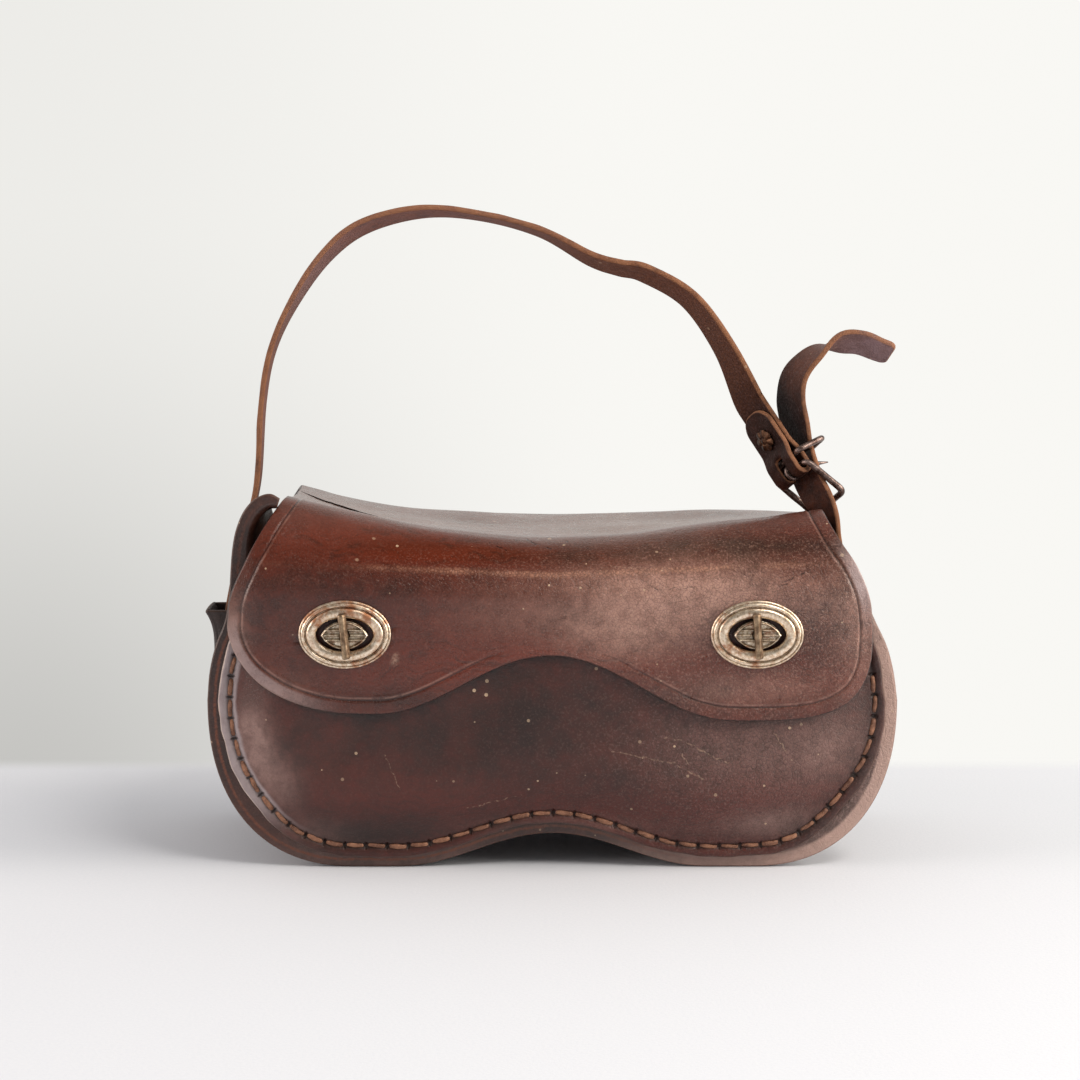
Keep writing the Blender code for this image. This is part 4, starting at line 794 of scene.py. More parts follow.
# Path of the long strap, with the near direction along it: through its rows to the buckle, then along the fold,
# half round the bar and back as the tab.
def longStrapPath():
    end = bucklePoint(-30.0, straps["fold"][0][1])
    rows = throughRows(straps["long"] + [(*end, buckle["tilt"])], 14)
    turn = np.linspace(0.0, math.pi, 30)[1:-1]
    along, back = np.linspace(-30.0, 0.0, 60), np.linspace(0.0, -straps["tab"], 56)
    side = np.concatenate([np.stack([along, curveAt(straps["fold"], along)], -1),
                           straps["fold"][-1][1] * np.stack([np.sin(turn), np.cos(turn)], -1),
                           np.stack([back, -curveAt(straps["fold"], back)], -1)])
    points = bucklePoint(*side.T)
    nears = nearDirection(np.gradient(rows[:, :3], axis=0), rows[:, 3])[:-1]
    return (np.concatenate([rows[:-1, :3], points]),
            np.concatenate([nears, np.broadcast_to(buckleNear, points.shape)]))


# Path of the short strap, with the near direction along it.
def shortStrapPath():
    rows = throughRows(straps["short"], 14)
    return rows[:, :3], nearDirection(np.gradient(rows[:, :3], axis=0), rows[:, 3])


# Tone bumps of the straps: warm is redder dye and grainy is where the grain shows; dark is painted shade on the tab
# and on strap faces turned from the light; pale is painted highlight on upward and lit faces.
strapTones = {
    "warm": [(-70, 2, 222, 50, 20, 20, 0.6), (-104, 0, 160, 16, 20, 30, 0.5), (30, 4, 210, 40, 20, 14, 0.5),
             (96, 0, 178, 16, 20, 10, 0.6), (-30, 2, 230, 60, 20, 12, 0.9)],
    "dark": [(76, 4, 150, 18, 20, 22, 1.1), (102, -2, 112, 14, 20, 22, 0.9), (-114, 0, 104, 10, 20, 30, 1.0),
             (88, 0, 158, 8, 20, 20, 0.8)],
    "pale": [(-104, -4, 150, 10, 14, 26, 0.3), (116, 0, 180, 13, 20, 9, 2.0), (-30, 2, 230, 60, 20, 12, 0.5),
             (-84, 0, 206, 30, 20, 24, 0.7)],
    "grainy": [(0, 0, 200, 200, 60, 80, 0.5)],
}


# the keeper is a loop: half of its width inside, its feet on the side wall, and its corners
keeper = {
    "thickness": 1.8, "rounding": 0.55, "half": 10.6, "foot": 6.0, "seat": 1.45, "bend": 1.5, "shoulder": 2.8,
    # height, how far its front face stands out
    "rows": [(68, -122), (73, -121.9), (79, -122.4), (83, -123.6), (86, -125.2)],
}


# Place of the left side wall's outer face at a height and a depth.
def wallAt(z, y):
    bulge = gusset["bulgeSide"] * float(curveAt(gusset["bulgeRows"], abs(y)))
    return -(sideEdges(z)[0] - gusset["rim"] + bulge + 0.5 * gusset["thickness"])


# The section at each height runs through ten corners, from the back foot round the front to the other foot.
def makeKeeper():
    half, bend, seat, foot = (keeper[key] for key in ("half", "bend", "seat", "foot"))
    low, high = keeper["rows"][0][0], keeper["rows"][-1][0]
    z = np.concatenate([low + edgeSteps[:7], np.linspace(low + 2.4, high - 2.4, 12), high - edgeSteps[6::-1]])
    out = curveAt(keeper["rows"], z)
    side = [(wallAt(z, half + foot) - seat, half + foot), (wallAt(z, half + bend) - seat, half + bend),
            (wallAt(z, half) - seat - bend, half), (out + bend, half - 0.4 * bend),
            (out, half - keeper["shoulder"])]
    corners = [pointsOf(x, -y, z) for x, y in side] + [pointsOf(x, y, z) for x, y in side[::-1]]
    spots = np.concatenate([[0, .01, .04, .08, .13, .2, .3], np.arange(0.45, 8.6, 0.15),
                            [8.7, 8.8, 8.87, 8.92, 8.96, 8.99, 9]])
    dense = throughRows(np.reshape(corners, (len(corners), -1)), 20)
    grid = rowsAt(dense, np.arange(len(dense)), spots * 20).reshape(len(spots), len(z), 3)
    store = newStore()
    addGrid(store, grid, {"rough": 0.0})
    middle, triangles, extras = joined(store)
    extras = {**extras, **tonesOf(middle, {**strapTones, "dark": [(-122, 0, 78, 20, 30, 20, 0.9)]})}
    return leather("strap_keeper_leather", middle, triangles, keeper["thickness"], keeper["rounding"],
                   np.array([-1.0, 0.0, 0.0]), extras, reach=farAway)


# Closes both ends of a wrapped grid with fans round two more points.
def capped(grid, low, high):
    rows, columns = grid.shape[:2]
    ring, count = np.arange(columns), rows * columns
    last = count - columns + ring
    caps = np.concatenate([np.stack([np.full(columns, count), np.roll(ring, -1), ring], -1),
                           np.stack([np.full(columns, count + 1), last, np.roll(last, -1)], -1)])
    return (np.concatenate([grid.reshape(-1, 3), [low, high]]),
            np.concatenate([cellsToTriangles(gridCells(rows, columns, wrap=True)), caps]))


# Points and triangles of a grid that closes on itself both ways.
def torus(grid):
    return grid.reshape(-1, 3), cellsToTriangles(gridCells(*grid.shape[:2], wrap=True, loop=True))


# Tube along a path: each ring is a circle round the path point in the plane of two side directions, which
# turn with the path. An open tube closes with a small round cap at each end.
def tube(path, radius, sides=18, closed=False, reference=None):
    path = np.asarray(path, float)
    run = unit(np.roll(path, -1, 0) - np.roll(path, 1, 0) if closed else np.gradient(path, axis=0))
    first = unit(np.cross(run, buckleNear if reference is None else np.asarray(reference, float)) + 1e-6)
    second = np.cross(run, first)
    radius = np.broadcast_to(radius, (len(path),)).astype(float)
    if not closed:
        turn = np.radians([80.0, 55.0, 28.0])
        head = path[0] - run[0] * radius[0] * np.sin(turn)[:, None] * 0.6
        tail = path[-1] + run[-1] * radius[-1] * np.sin(turn[::-1])[:, None] * 0.6
        path = np.concatenate([head, path, tail])
        radius = np.concatenate([radius[0] * np.cos(turn), radius, radius[-1] * np.cos(turn[::-1])])
        first, second = (np.concatenate([np.repeat(way[:1], 3, 0), way, np.repeat(way[-1:], 3, 0)])
                         for way in (first, second))
    angle = 2.0 * math.pi * np.arange(sides) / sides
    ring = np.cos(angle)[None, :, None] * first[:, None] + np.sin(angle)[None, :, None] * second[:, None]
    grid = path[:, None] + ring * radius[:, None, None]
    return torus(grid) if closed else capped(grid, path[0], path[-1])


# Several closed shells as one mesh; each shell's triangles are turned to point outwards, by its volume.
def shells(name, parts):
    points, triangles, count = [], [], 0
    for shellPoints, shellTriangles in parts:
        a, b, c = (shellPoints[shellTriangles[:, k]] - shellPoints.mean(0) for k in range(3))
        if (np.cross(a, b) * c).sum() < 0.0:
            shellTriangles = shellTriangles[:, ::-1]
        points.append(shellPoints)
        triangles.append(shellTriangles + count)
        count += len(shellPoints)
    return makeMesh(name, np.concatenate(points), np.concatenate(triangles))


# Closed ring of a rectangle with rounded corners, from base: width along near, length along the direction.
def roundedRectangle(base, direction, length, half, bend):
    corners = np.array([(0.0, -half), (0.0, half), (length, half), (length, -half)])
    path = []
    for k in range(4):
        before, after = unit(corners[k - 1] - corners[k]), unit(corners[(k + 1) % 4] - corners[k])
        t = np.linspace(0.0, 1.0, 7)[:, None]
        path.append(corners[k] + (1 - t) ** 2 * before * bend + t**2 * after * bend)
        reach = corners[(k + 1) % 4] - corners[k]
        size = np.linalg.norm(reach)
        t = np.linspace(0.0, 1.0, 10)[1:-1, None]
        path.append(corners[k] + after * bend + t * (reach - 2 * bend * reach / size))
    flat = np.concatenate(path)
    return base + flat[:, :1] * direction + flat[:, 1:] * buckleNear


# Frame, keeper loop and prong: tubes round rounded rectangles, and a pin with an eye that wraps the bar.
def makeBuckle():
    opening = math.radians(buckle["opening"])
    direction = buckleDown * math.cos(opening) + buckleOut * math.sin(opening)
    path = roundedRectangle(buckleBar, direction, buckle["length"], buckle["half"], buckle["bend"])
    thick = buckle["wire"] * (1.0 + 0.05 * softField(path, 9.0, 51))
    made = [shells("buckle_wire_frame", [tube(path, thick, 20, True, np.cross(direction, buckleNear))])]
    base = bucklePoint(buckle["keeperBack"], 0.0)
    path = roundedRectangle(base, buckleOut, buckle["keeperOut"], buckle["half"], buckle["bend"])
    thick = buckle["keeperWire"] * (1.0 + 0.05 * softField(path, 9.0, 52))
    made.append(shells("buckle_wire_keeper", [tube(path, thick, 18, True, buckleDown)]))
    turn = math.radians(buckle["prongTurn"])
    axis = buckleDown * math.cos(turn) + buckleOut * math.sin(turn)
    side = unit(np.cross(buckleNear, axis))
    eye = buckle["wire"] + 0.3 + buckle["prong"]
    angle = np.radians(np.linspace(205.0, 0.0, 26))[:, None]
    path = buckleBar + side * eye * np.cos(angle) - axis * eye * np.sin(angle)
    reach = np.linspace(0.0, 1.0, 22)[1:, None] * buckle["prongLength"]
    path = np.concatenate([path, buckleBar + side * eye + axis * reach])
    thick = np.full(len(path), buckle["prong"])
    thick[-8:] = np.linspace(buckle["prong"], buckle["prongTip"], 8)
    made.append(shells("buckle_prong_wire", [tube(path, thick, 16)]))
    return made


# Rosette head: round petals meet in grooves, a domed boss stands in the middle, and the head's rim turns
# down to the strap. The height falls with the square of the radius.
def makeRivet():
    angle = 2.0 * math.pi * np.arange(80) / 80
    share = np.concatenate([np.linspace(0.03, 1.0, 26), [1.0, 0.97]])[:, None]
    petal = np.abs(np.cos(0.5 * buckle["petals"] * angle))[None, :]
    radius = buckle["rivetR"] * share * (0.86 + 0.22 * petal**0.6)
    height = 1.45 - 0.75 * share**2 + 0.35 * bell(share, 0.24)
    height = height - 0.45 * (1.0 - petal**0.5) * smooth01((share - 0.3) / 0.25) - 0.3 * bell(share - 0.34, 0.06)
    height = np.broadcast_to(height, radius.shape).copy()
    height[-2:] = [[0.35], [0.0]]
    face = -(straps["fold"][0][1] + 0.5 * straps["thickness"] + 0.1)
    at = buckle["rivetBack"]
    grid = bucklePoint(at + radius * np.cos(angle), face - height, radius * np.sin(angle))
    head = capped(grid, bucklePoint(at, face - 1.8), bucklePoint(at, face))
    cap = tube(bucklePoint(at, np.linspace(2.35, 3.2, 5)), np.array([2.5, 2.5, 2.3, 1.9, 1.2]), 28)
    return shells("rosette_rivet_head", [head, cap])


lock = {
    # the flap's face, where the plates sit, and the plane that the bosses and bars are measured from
    "sides": 120, "seat": -62.15, "plane": -61.85, "standOff": 3.4,
    "baseLength": 8.1, "baseHeight": 4.9, "bore": 1.85, "knobLength": 15.8, "knobWidth": 2.6, "knobDepth": 3.0,
    "ridges": (-1.75, 0.0, 1.75), "shaft": 1.5,
    "lean": {"left": 6.0, "right": 4.0},
    "seed": {"left": 61, "right": 62},
    # oval plate, outside to inside: half-length, half-height, in front of the flap
    "plate": [(15.7, 11.6, 0.0), (15.95, 11.85, 0.25), (16.0, 11.9, 0.55), (15.75, 11.65, 0.85), (15.4, 11.3, 0.95),
              (15.2, 11.1, 0.72), (15.0, 10.9, 0.98), (14.5, 10.4, 1.28), (14.0, 9.9, 1.2), (13.75, 9.65, 0.72),
              (13.45, 9.35, 0.78), (13.15, 9.05, 1.35), (12.4, 8.3, 1.75), (11.4, 7.3, 1.8), (10.5, 6.4, 1.5),
              (9.95, 5.85, 1.0), (9.8, 5.7, 0.5), (9.9, 5.8, 0.0)],
    # bar's section: shares of its half width and of its depth
    "section": [(-0.9, 0.0), (-1.0, -0.35), (-1.0, -0.72), (-0.72, -0.93), (0.1, -1.0), (0.62, -0.82),
                (1.0, -0.5), (1.0, -0.2), (0.9, 0.0), (0.0, 0.0)],
}


# Oval plate: the profile's rows are joined by a smooth curve and carried round the ellipse.
def makePlate(side):
    x, z = sheet["locks"][side]
    rows = throughRows(lock["plate"], 3)
    angle = 2.0 * math.pi * np.arange(lock["sides"]) / lock["sides"]
    oval = np.stack([12 * np.cos(angle), 9 * np.sin(angle)], -1)
    hammered = 0.05 * softField(oval, 9.0, lock["seed"][side])
    grid = pointsOf(x + rows[:, :1] * np.cos(angle), lock["seat"] - rows[:, 2:] * (1.0 + hammered),
                    z + rows[:, 1:2] * np.sin(angle))
    return shells(side + "_lock_oval_plate", [torus(grid)])


# Eye-shaped boss between two arcs, with a round bore. Its front is a height over the plane: a raised rim
# along the outline, a sunken floor and three level ridges like half-round bars.
def makeBoss(side):
    x, z = sheet["locks"][side]
    half, height = lock["baseLength"], lock["baseHeight"]
    radius = (half**2 + height**2) / (2.0 * height)
    reach = math.asin(half / radius)
    arc = np.linspace(reach, -reach, 61)[:-1]
    upper = np.stack([radius * np.sin(arc), radius * np.cos(arc) - radius + height], -1)
    outline = np.concatenate([upper, -upper])
    turn = np.arctan2(outline[:, 1], outline[:, 0])
    bore = lock["bore"] * np.stack([np.cos(turn), np.sin(turn)], -1)
    share = np.concatenate([[0.0, 0.0], np.linspace(0.0, 0.97, 40), [0.99, 1.0, 1.0, 1.0]])[:, None, None]
    flat = bore + (outline - bore) * share
    away = (1.0 - share[..., 0]) * np.linalg.norm(outline - bore, axis=1)
    rim = bell(away - 0.45, 0.34)
    ridge = np.max([bell(flat[..., 1] - level, 0.42) for level in lock["ridges"]], axis=0)
    front = lock["standOff"] - 1.0 + np.maximum(rim, 0.75 * ridge)
    front[-3:] = np.array([lock["standOff"] - 0.6, 1.2, -2.4])[:, None]
    front[:2] = np.array([-2.4, 1.0])[:, None]
    return shells(side + "_lock_boss", [torus(pointsOf(x + flat[..., 0], lock["plane"] - front, z + flat[..., 1]))])


# Turn bar: a bevelled section is carried along its length, shrinks towards both ends along a circle, and is
# turned by its lean; a round shaft runs from it back through the boss.
def makeBar(side):
    x, z = sheet["locks"][side]
    half, width, depth = 0.5 * lock["knobLength"], 0.5 * lock["knobWidth"], lock["knobDepth"]
    ring = throughRows(lock["section"] + lock["section"][:1], 5)[:-1]
    t = np.sin(np.linspace(-0.5, 0.5, 35) * math.pi)
    fromEnd = half * (1.0 - np.abs(t))
    shrink = np.sqrt(np.clip(1.0 - (1.0 - np.clip(fromEnd / 0.8, 0.0, 1.0)) ** 2, 0.0, 1.0))
    shrink = (0.55 + 0.45 * shrink)[:, None]
    waist = 1.0 + 0.10 * np.abs(t[:, None]) ** 2
    grid = pointsOf(ring[:, 0] * width * shrink * waist, ring[:, 1] * depth * (0.4 + 0.6 * shrink),
                    t[:, None] * half)
    points, triangles = capped(grid, grid[0].mean(0), grid[-1].mean(0))
    cos, sin = (turn(math.radians(-lock["lean"][side])) for turn in (math.cos, math.sin))
    back = lock["plane"] - lock["standOff"] - 0.3
    turned = points @ np.array([(cos, 0.0, -sin), (0.0, 1.0, 0.0), (sin, 0.0, cos)]) + (x, back, z)
    shaft = tube(pointsOf(x, np.linspace(back - 0.9, back + 3.0, 6), z), lock["shaft"], 24,
                 reference=(1.0, 0.0, 0.0))
    return shells(side + "_lock_bar", [(turned, triangles), shaft])


# The crack's torn lip: a thin tapered strand that lies on the top, and moves with the top's own dents.
def makeTopCrack():
    x, y, half = throughRows(sheet["crack"], 12).T
    x = x + 0.5 * softField(np.stack([x, y], -1), 9.0, 51)
    path = pointsOf(x, y, topHeight(x, 0.5 * (y / sheet["topY"] + 1.0)))
    dent = sheet["dent"][1] * softField(path, 34.0, 9) * smooth01((x + 88.0) / 14.0)
    path[:, 2] += dent + 0.5 * sheet["thickness"]
    return shells("top_leather_crack", [tube(path, np.maximum(half, 0.08), 10, reference=(0.0, 0.0, 1.0))])


# Hand stitches as short waxed threads. Each runs along the path at a slant, is an ellipse across, carries a
# two-strand twist, and dives into the leather at both ends. up is the surface's outward direction.
def threads(path, up, pitch, width, height, slant):
    run, sides = runAlong(path), stitches["sides"]
    count = int(run[-1] / pitch)
    random = np.random.default_rng(7)
    t = np.linspace(0.0, 1.0, 11)
    at = (np.arange(count)[:, None] + 0.5 + (t - 0.5) * stitches["length"]) * pitch
    at = at + random.uniform(-0.4, 0.4, (count, 1))
    centre = rowsAt(path, run, at)
    along = unit(rowsAt(path, run, at + 0.4) - rowsAt(path, run, at - 0.4))
    outward = unit(rowsAt(np.broadcast_to(up, path.shape), run, at))
    sideways = np.cross(along, outward)
    end = np.abs(2.0 * t - 1.0)
    tilt = slant * (1.0 + random.uniform(-0.6, 0.6, (count, 1)))
    lean = (t - 0.5) * tilt + random.uniform(-0.2, 0.2, (count, 1))
    centre = centre + sideways * lean[..., None] + outward * (0.12 - 1.5 * end**5)[None, :, None]
    fat = (1.0 - 0.45 * end**4) * (1.0 + random.uniform(-0.2, 0.2, (count, 1)))
    angle = 2.0 * math.pi * np.arange(sides) / sides
    twist = 1.0 + 0.10 * np.cos(2.0 * angle[None, None] - 2.0 * math.pi * 2.2 * t[None, :, None])
    ring = (sideways[:, :, None] * (0.5 * width * np.cos(angle) * twist)[..., None]
            + outward[:, :, None] * (0.5 * height * np.sin(angle) * twist)[..., None])
    points = centre[:, :, None] + ring * fat[..., None, None]
    return [capped(points[k], centre[k, 0], centre[k, -1]) for k in range(count)]


# Both seams on the unshifted stitch line, then two short rows at each strap end and along the keeper's feet.
def makeStitches():
    made = []
    for name, topZ, sign in (("front_hand_stitches", stitches["topFront"], -1.0),
                             ("back_hand_stitches", stitches["topBack"], 1.0)):
        flat, _ = stitchPath(topZ)
        path = pointsOf(flat[:, 0], sign * (bag["panelY"] + 0.5 * panel["thickness"] - 0.45), flat[:, 1])
        parts = threads(path, np.array([0.0, sign, 0.0]), stitches["pitch"], stitches["width"], stitches["height"],
                        stitches["slant"])
        made.append(shells(name, [(shrunk(points), cells) for points, cells in parts] if sign < 0.0 else parts))
    parts = []
    for path, nears in (longStrapPath(), shortStrapPath()):
        run = runAlong(path)
        face = unit(np.cross(nears, np.gradient(path, axis=0)))
        face *= np.sign((face * (path - (0.0, 0.0, 60.0))).sum(-1, keepdims=True))
        low = (run > 3.0) & (run < 22.0)
        for offset in (-5.6, 5.6):
            line = path[low] + nears[low] * offset + face[low] * (0.5 * straps["thickness"] - 0.15)
            parts += threads(line, face[low], 3.9, *stitches["small"])
    for y in (-(keeper["half"] + 4.0), keeper["half"] + 4.0):
        z = np.linspace(70.0, 84.5, 30)
        x = wallAt(z, y) - keeper["seat"] - 0.5 * keeper["thickness"] + 0.15
        parts += threads(pointsOf(x, y, z), np.array([-1.0, 0.0, 0.0]), 3.6, *stitches["small"])
    made.append(shells("strap_stitches", parts))
    return made


# An sRGB hex code as Blender's linear colour.
def hexColour(code):
    channels = [int(code[k:k + 2], 16) / 255.0 for k in (1, 3, 5)]
    return tuple(c / 12.92 if c <= 0.04045 else ((c + 0.055) / 1.055) ** 2.4 for c in channels) + (1.0,)


# Links a socket to a node's input, or sets the input to a value; None leaves it as it is.
def setSocket(tree, socket, value):
    if isinstance(value, bpy.types.NodeSocket):
        tree.links.new(value, socket)
    elif value is not None:
        socket.default_value = value


# settings that all nodes of a type share here
usualSettings = {"Mix": {"data_type": "RGBA"}, "MapRange": {"interpolation_type": "SMOOTHSTEP"}}


# Adds one node and gives its first open output, or the named one. The inputs are values or sockets for its open
# inputs in turn, the settings are its own properties, and a kind in capitals is an operation of the Math node.
def addNode(tree, kind, *inputs, output=None, **settings):
    if kind.isupper():
        kind, settings = "Math", {"operation": kind, **settings}
    made = tree.nodes.new("ShaderNode" + kind)
    for key, value in {**usualSettings.get(kind, {}), **settings}.items():
        setattr(made, key, value)
    for socket, value in zip([socket for socket in made.inputs if socket.enabled], inputs):
        setSocket(tree, socket, value)
    return made.outputs[output] if output else next(socket for socket in made.outputs if socket.enabled)


# A new material, addNode for its own tree, and the object's place in millimetres.
def newMaterial(name):
    made = bpy.data.materials.new(name)
    made.use_nodes = True
    node = partial(addNode, made.node_tree)
    return made, node, node("VectorMath", node("TexCoord", output="Object"), (1000.0,) * 3, operation="MULTIPLY")


# Sets the shader's inputs and gives it a bump whose height is in millimetres.
def finishMaterial(made, inputs, height=None, strength=1.0):
    tree = made.node_tree
    if height is not None:
        inputs = {**inputs, "Normal": addNode(tree, "Bump", strength, 0.001, None, height)}
    for key, value in inputs.items():
        setSocket(tree, tree.nodes["Principled BSDF"].inputs[key], value)
    return made


# Lays colours over the first one, each through its mask.
def layered(node, code, layers):
    colour = hexColour(code)
    for mask, tone in layers:
        colour = node("Mix", mask, colour, hexColour(tone) if isinstance(tone, str) else tone)
    return colour


# Adds masks times their shares to a start value.
def summed(node, rows, start=0.0):
    return reduce(lambda total, row: node("MULTIPLY_ADD", *row, total), rows, start)


# Moves a place by a little noise, so that patterns on it run crooked.
def crooked(node, place, scale, amount):
    push = node("VectorMath", node("TexNoise", place, scale, 2.0, output="Color"), (-0.5,) * 3, operation="ADD")
    return node("VectorMath", place, node("VectorMath", push, amount, operation="SCALE"), operation="ADD")


# Thin line between two points in the x-z plane: its mask falls with the distance to the segment.
def lineMask(node, flat, start, end, width):
    run = (end[0] - start[0], 0.0, end[1] - start[1])
    away = node("VectorMath", flat, (start[0], 0.0, start[1]), operation="SUBTRACT")
    perLength = tuple(c / (run[0] ** 2 + run[2] ** 2) for c in run)
    share = node("MULTIPLY", node("VectorMath", away, perLength, operation="DOT_PRODUCT"), 1.0, use_clamp=True)
    foot = node("VectorMath", run, share, operation="SCALE")
    return node("MapRange", node("VectorMath", away, foot, operation="DISTANCE"), width, 0.0)


# Mask that is one where a value is within core of a place, and nothing once it is width away.
def closeTo(node, value, at, width, core):
    return node("MapRange", node("ABSOLUTE", node("SUBTRACT", value, at)), width, core)


# Sizes of the leather's patterns in millimetres, and colours that all the leathers share; crease, seam and hole
# colours are painted shade.
leatherSizes = {"mottle": 24.0, "blotch": 5.0, "fleck": 0.8, "streak": 1.6, "folds": 2.8, "fibre": 0.7, "dust": 6.5}
leatherColours = {"dust": "#d3b596", "crease": "#24130f", "seam": "#20120d", "hole": "#140a07", "crack": "#1c0f0b"}


# Vegetable-tanned cowhide, dyed red-brown and waxed by hand: blotchy where hands and sun have worn it, a pore
# grain of small wrinkled cells, dust specks in the wax, lighter raw fibre at cut edges, a semi-gloss finish;
# over these lie painted shade and painted highlights from the tones set on the mesh.
def leatherMaterial(name, look):
    made, node, place = newMaterial(name)
    scale = {key: 1.0 / size for key, size in leatherSizes.items()}
    names = ["warm", "dark", "pale", "grainy", "edge", "inside"] + look.get("reads", [])
    read = {key: node("Attribute", output="Fac", attribute_name=key) for key in names}
    warm, grainy, edge = read["warm"], read["grainy"], read["edge"]
    warped = crooked(node, place, 0.05, 22.0)
    mottle = node("TexNoise", warped, scale["mottle"], 5.0, 0.62)
    blotch = node("TexNoise", place, scale["blotch"], 5.0, 0.65)
    fleck = node("TexNoise", place, scale["fleck"], 3.0, 0.6)
    streak = node("VectorMath", warped, (0.10, 0.6, 1.0), operation="MULTIPLY")
    streak = node("TexNoise", streak, scale["streak"], 5.0, 0.6)
    wrinkle = node("TexVoronoi", crooked(node, place, 0.55, 1.3), 1.0 / look["grain"], feature="DISTANCE_TO_EDGE")
    crevice = node("MapRange", wrinkle, 0.13, 0.0)
    folds = node("TexVoronoi", crooked(node, place, 0.22, 4.0), scale["folds"], feature="DISTANCE_TO_EDGE")
    folds = node("MULTIPLY", node("MapRange", folds, 0.17, 0.0), grainy)
    stained = node("MULTIPLY", warm, node("MapRange", streak, 0.46, 0.36))
    fleshLayer = []
    if "flesh" in look:
        fibre = node("VectorMath", place, (0.3, 1.0, 1.0), operation="MULTIPLY")
        fibre = node("MapRange", node("TexNoise", fibre, scale["fibre"], 4.0, 0.7), 0.3, 0.7)
        fleshLayer = [(read["inside"], layered(node, look["flesh"][0], [(fibre, look["flesh"][1])]))]
    layers = [
        (node("MapRange", mottle, 0.34, 0.66), look["base"]),
        (node("MULTIPLY", node("MapRange", blotch, 0.35, 0.72), 0.45), look["warm"]),
        *fleshLayer,
        (node("MULTIPLY", warm, node("MapRange", streak, 0.3, 0.62, 0.45, 1.0), use_clamp=True), look["warm"]),
        (node("MULTIPLY", stained, 0.3, use_clamp=True), look["dark"]),
        # painted shade from the dark tone, then painted highlights from the pale tone
        (node("MULTIPLY", read["dark"], node("MapRange", mottle, 0.2, 0.7, 1.0, 0.5), use_clamp=True),
         look["dark"]),
        (node("MULTIPLY", read["pale"], node("MapRange", blotch, 0.25, 0.7, 0.35, look["paleShare"]),
              use_clamp=True), look["pale"]),
    ]
    # painted sheen of the sky on the top
    if "topSheen" in look:
        layers.append((node("MULTIPLY", read["topSheen"], look["topSheen"][1]), look["topSheen"][0]))
    freckle = node("MULTIPLY", node("MapRange", fleck, 0.50, 0.68), node("MULTIPLY_ADD", grainy, 0.32, 0.05))
    layers += [(freckle, look["pale"]),
               (node("MULTIPLY", crevice, node("MULTIPLY_ADD", grainy, 0.30, 0.16)), look["dark"])]
    # painted sheen along the lit rims, in the border colour
    if "border" in look:
        width, strength, code = look["border"]
        band = node("MULTIPLY", node("MapRange", edge, width, width * 0.75),
                    node("MULTIPLY_ADD", blotch, 0.8, strength - 0.4), use_clamp=True)
        layers.append((node("MULTIPLY", band, read["rimSheen"]), code))
    if "line" in look:
        at, width, code = look["line"]
        stripe = closeTo(node, node("MULTIPLY_ADD", blotch, 1.2, edge), at + 0.6, width, 0.1)
        stripe = node("MULTIPLY", stripe, read["lined"], use_clamp=True)
        layers.append((node("MULTIPLY", stripe, node("MapRange", fleck, 0.3, 0.6, 0.3, 0.9)), code))
    relief = [(crevice, node("MULTIPLY_ADD", grainy, -0.07, -look["grainDepth"])), (blotch, 0.25), (folds, -0.11),
              (fleck, node("MULTIPLY_ADD", grainy, 0.05, 0.02)), (streak, node("MULTIPLY_ADD", warm, 0.30, 0.04))]
    if "crease" in look:
        # painted shade in the creased line, and a painted highlight on its raised lip
        broken = node("MULTIPLY", read["front"], node("MapRange", mottle, 0.3, 0.6, 0.3, 0.65))
        ditch = node("MULTIPLY", closeTo(node, edge, look["crease"], 0.42, 0.08), broken)
        broken = node("MULTIPLY", read["front"], node("MapRange", blotch, 0.35, 0.6, 0.05, 0.3))
        lip = node("MULTIPLY", closeTo(node, edge, look["crease"] + 0.8, 0.5, 0.1), broken)
        # a worn line along the bend, painted lighter in broken dots: wear and a painted glint
        x, _, z = node("SeparateXYZ", place).node.outputs
        bendAt = node("MULTIPLY_ADD", node("ABSOLUTE", x), sheet["bendRise"], sheet["bendZ"])
        worn = closeTo(node, z, bendAt, 1.7, 0.0)
        for mask in (read["front"], node("MapRange", mottle, 0.36, 0.6, 0.2, 0.9),
                     node("MapRange", wrinkle, 0.05, 0.3, 0.2, 0.6),
                     node("MapRange", node("ABSOLUTE", node("SUBTRACT", x, 8.0)), 96.0, 50.0, 0.12, 1.0)):
            worn = node("MULTIPLY", worn, mask)
        layers += [(ditch, leatherColours["crease"]), (lip, look["pale"]), (worn, look["worn"])]
    if "seam" in read:
        # painted shade in the stitch channel, and darker painted shade in the needle holes
        groove = node("MULTIPLY", node("MapRange", read["seam"], 1.7, 0.4), 0.7)
        saw = node("PINGPONG", node("MULTIPLY", read["run"], 1.0 / stitches["pitch"]), 0.5)
        hole = node("MULTIPLY", node("MapRange", saw, 0.09, 0.0), node("MapRange", read["seam"], 1.7, 0.6))
        layers += [(groove, leatherColours["seam"]), (node("MULTIPLY", hole, 0.8), leatherColours["hole"])]
        relief.append((hole, -0.5))
    rawEdge = node("MapRange", node("MULTIPLY_ADD", fleck, 0.5, edge), 0.95, 0.55)
    rawEdge = node("MULTIPLY", rawEdge, node("MapRange", blotch, 0.3, 0.6, 0.35, look["edgeShare"]))
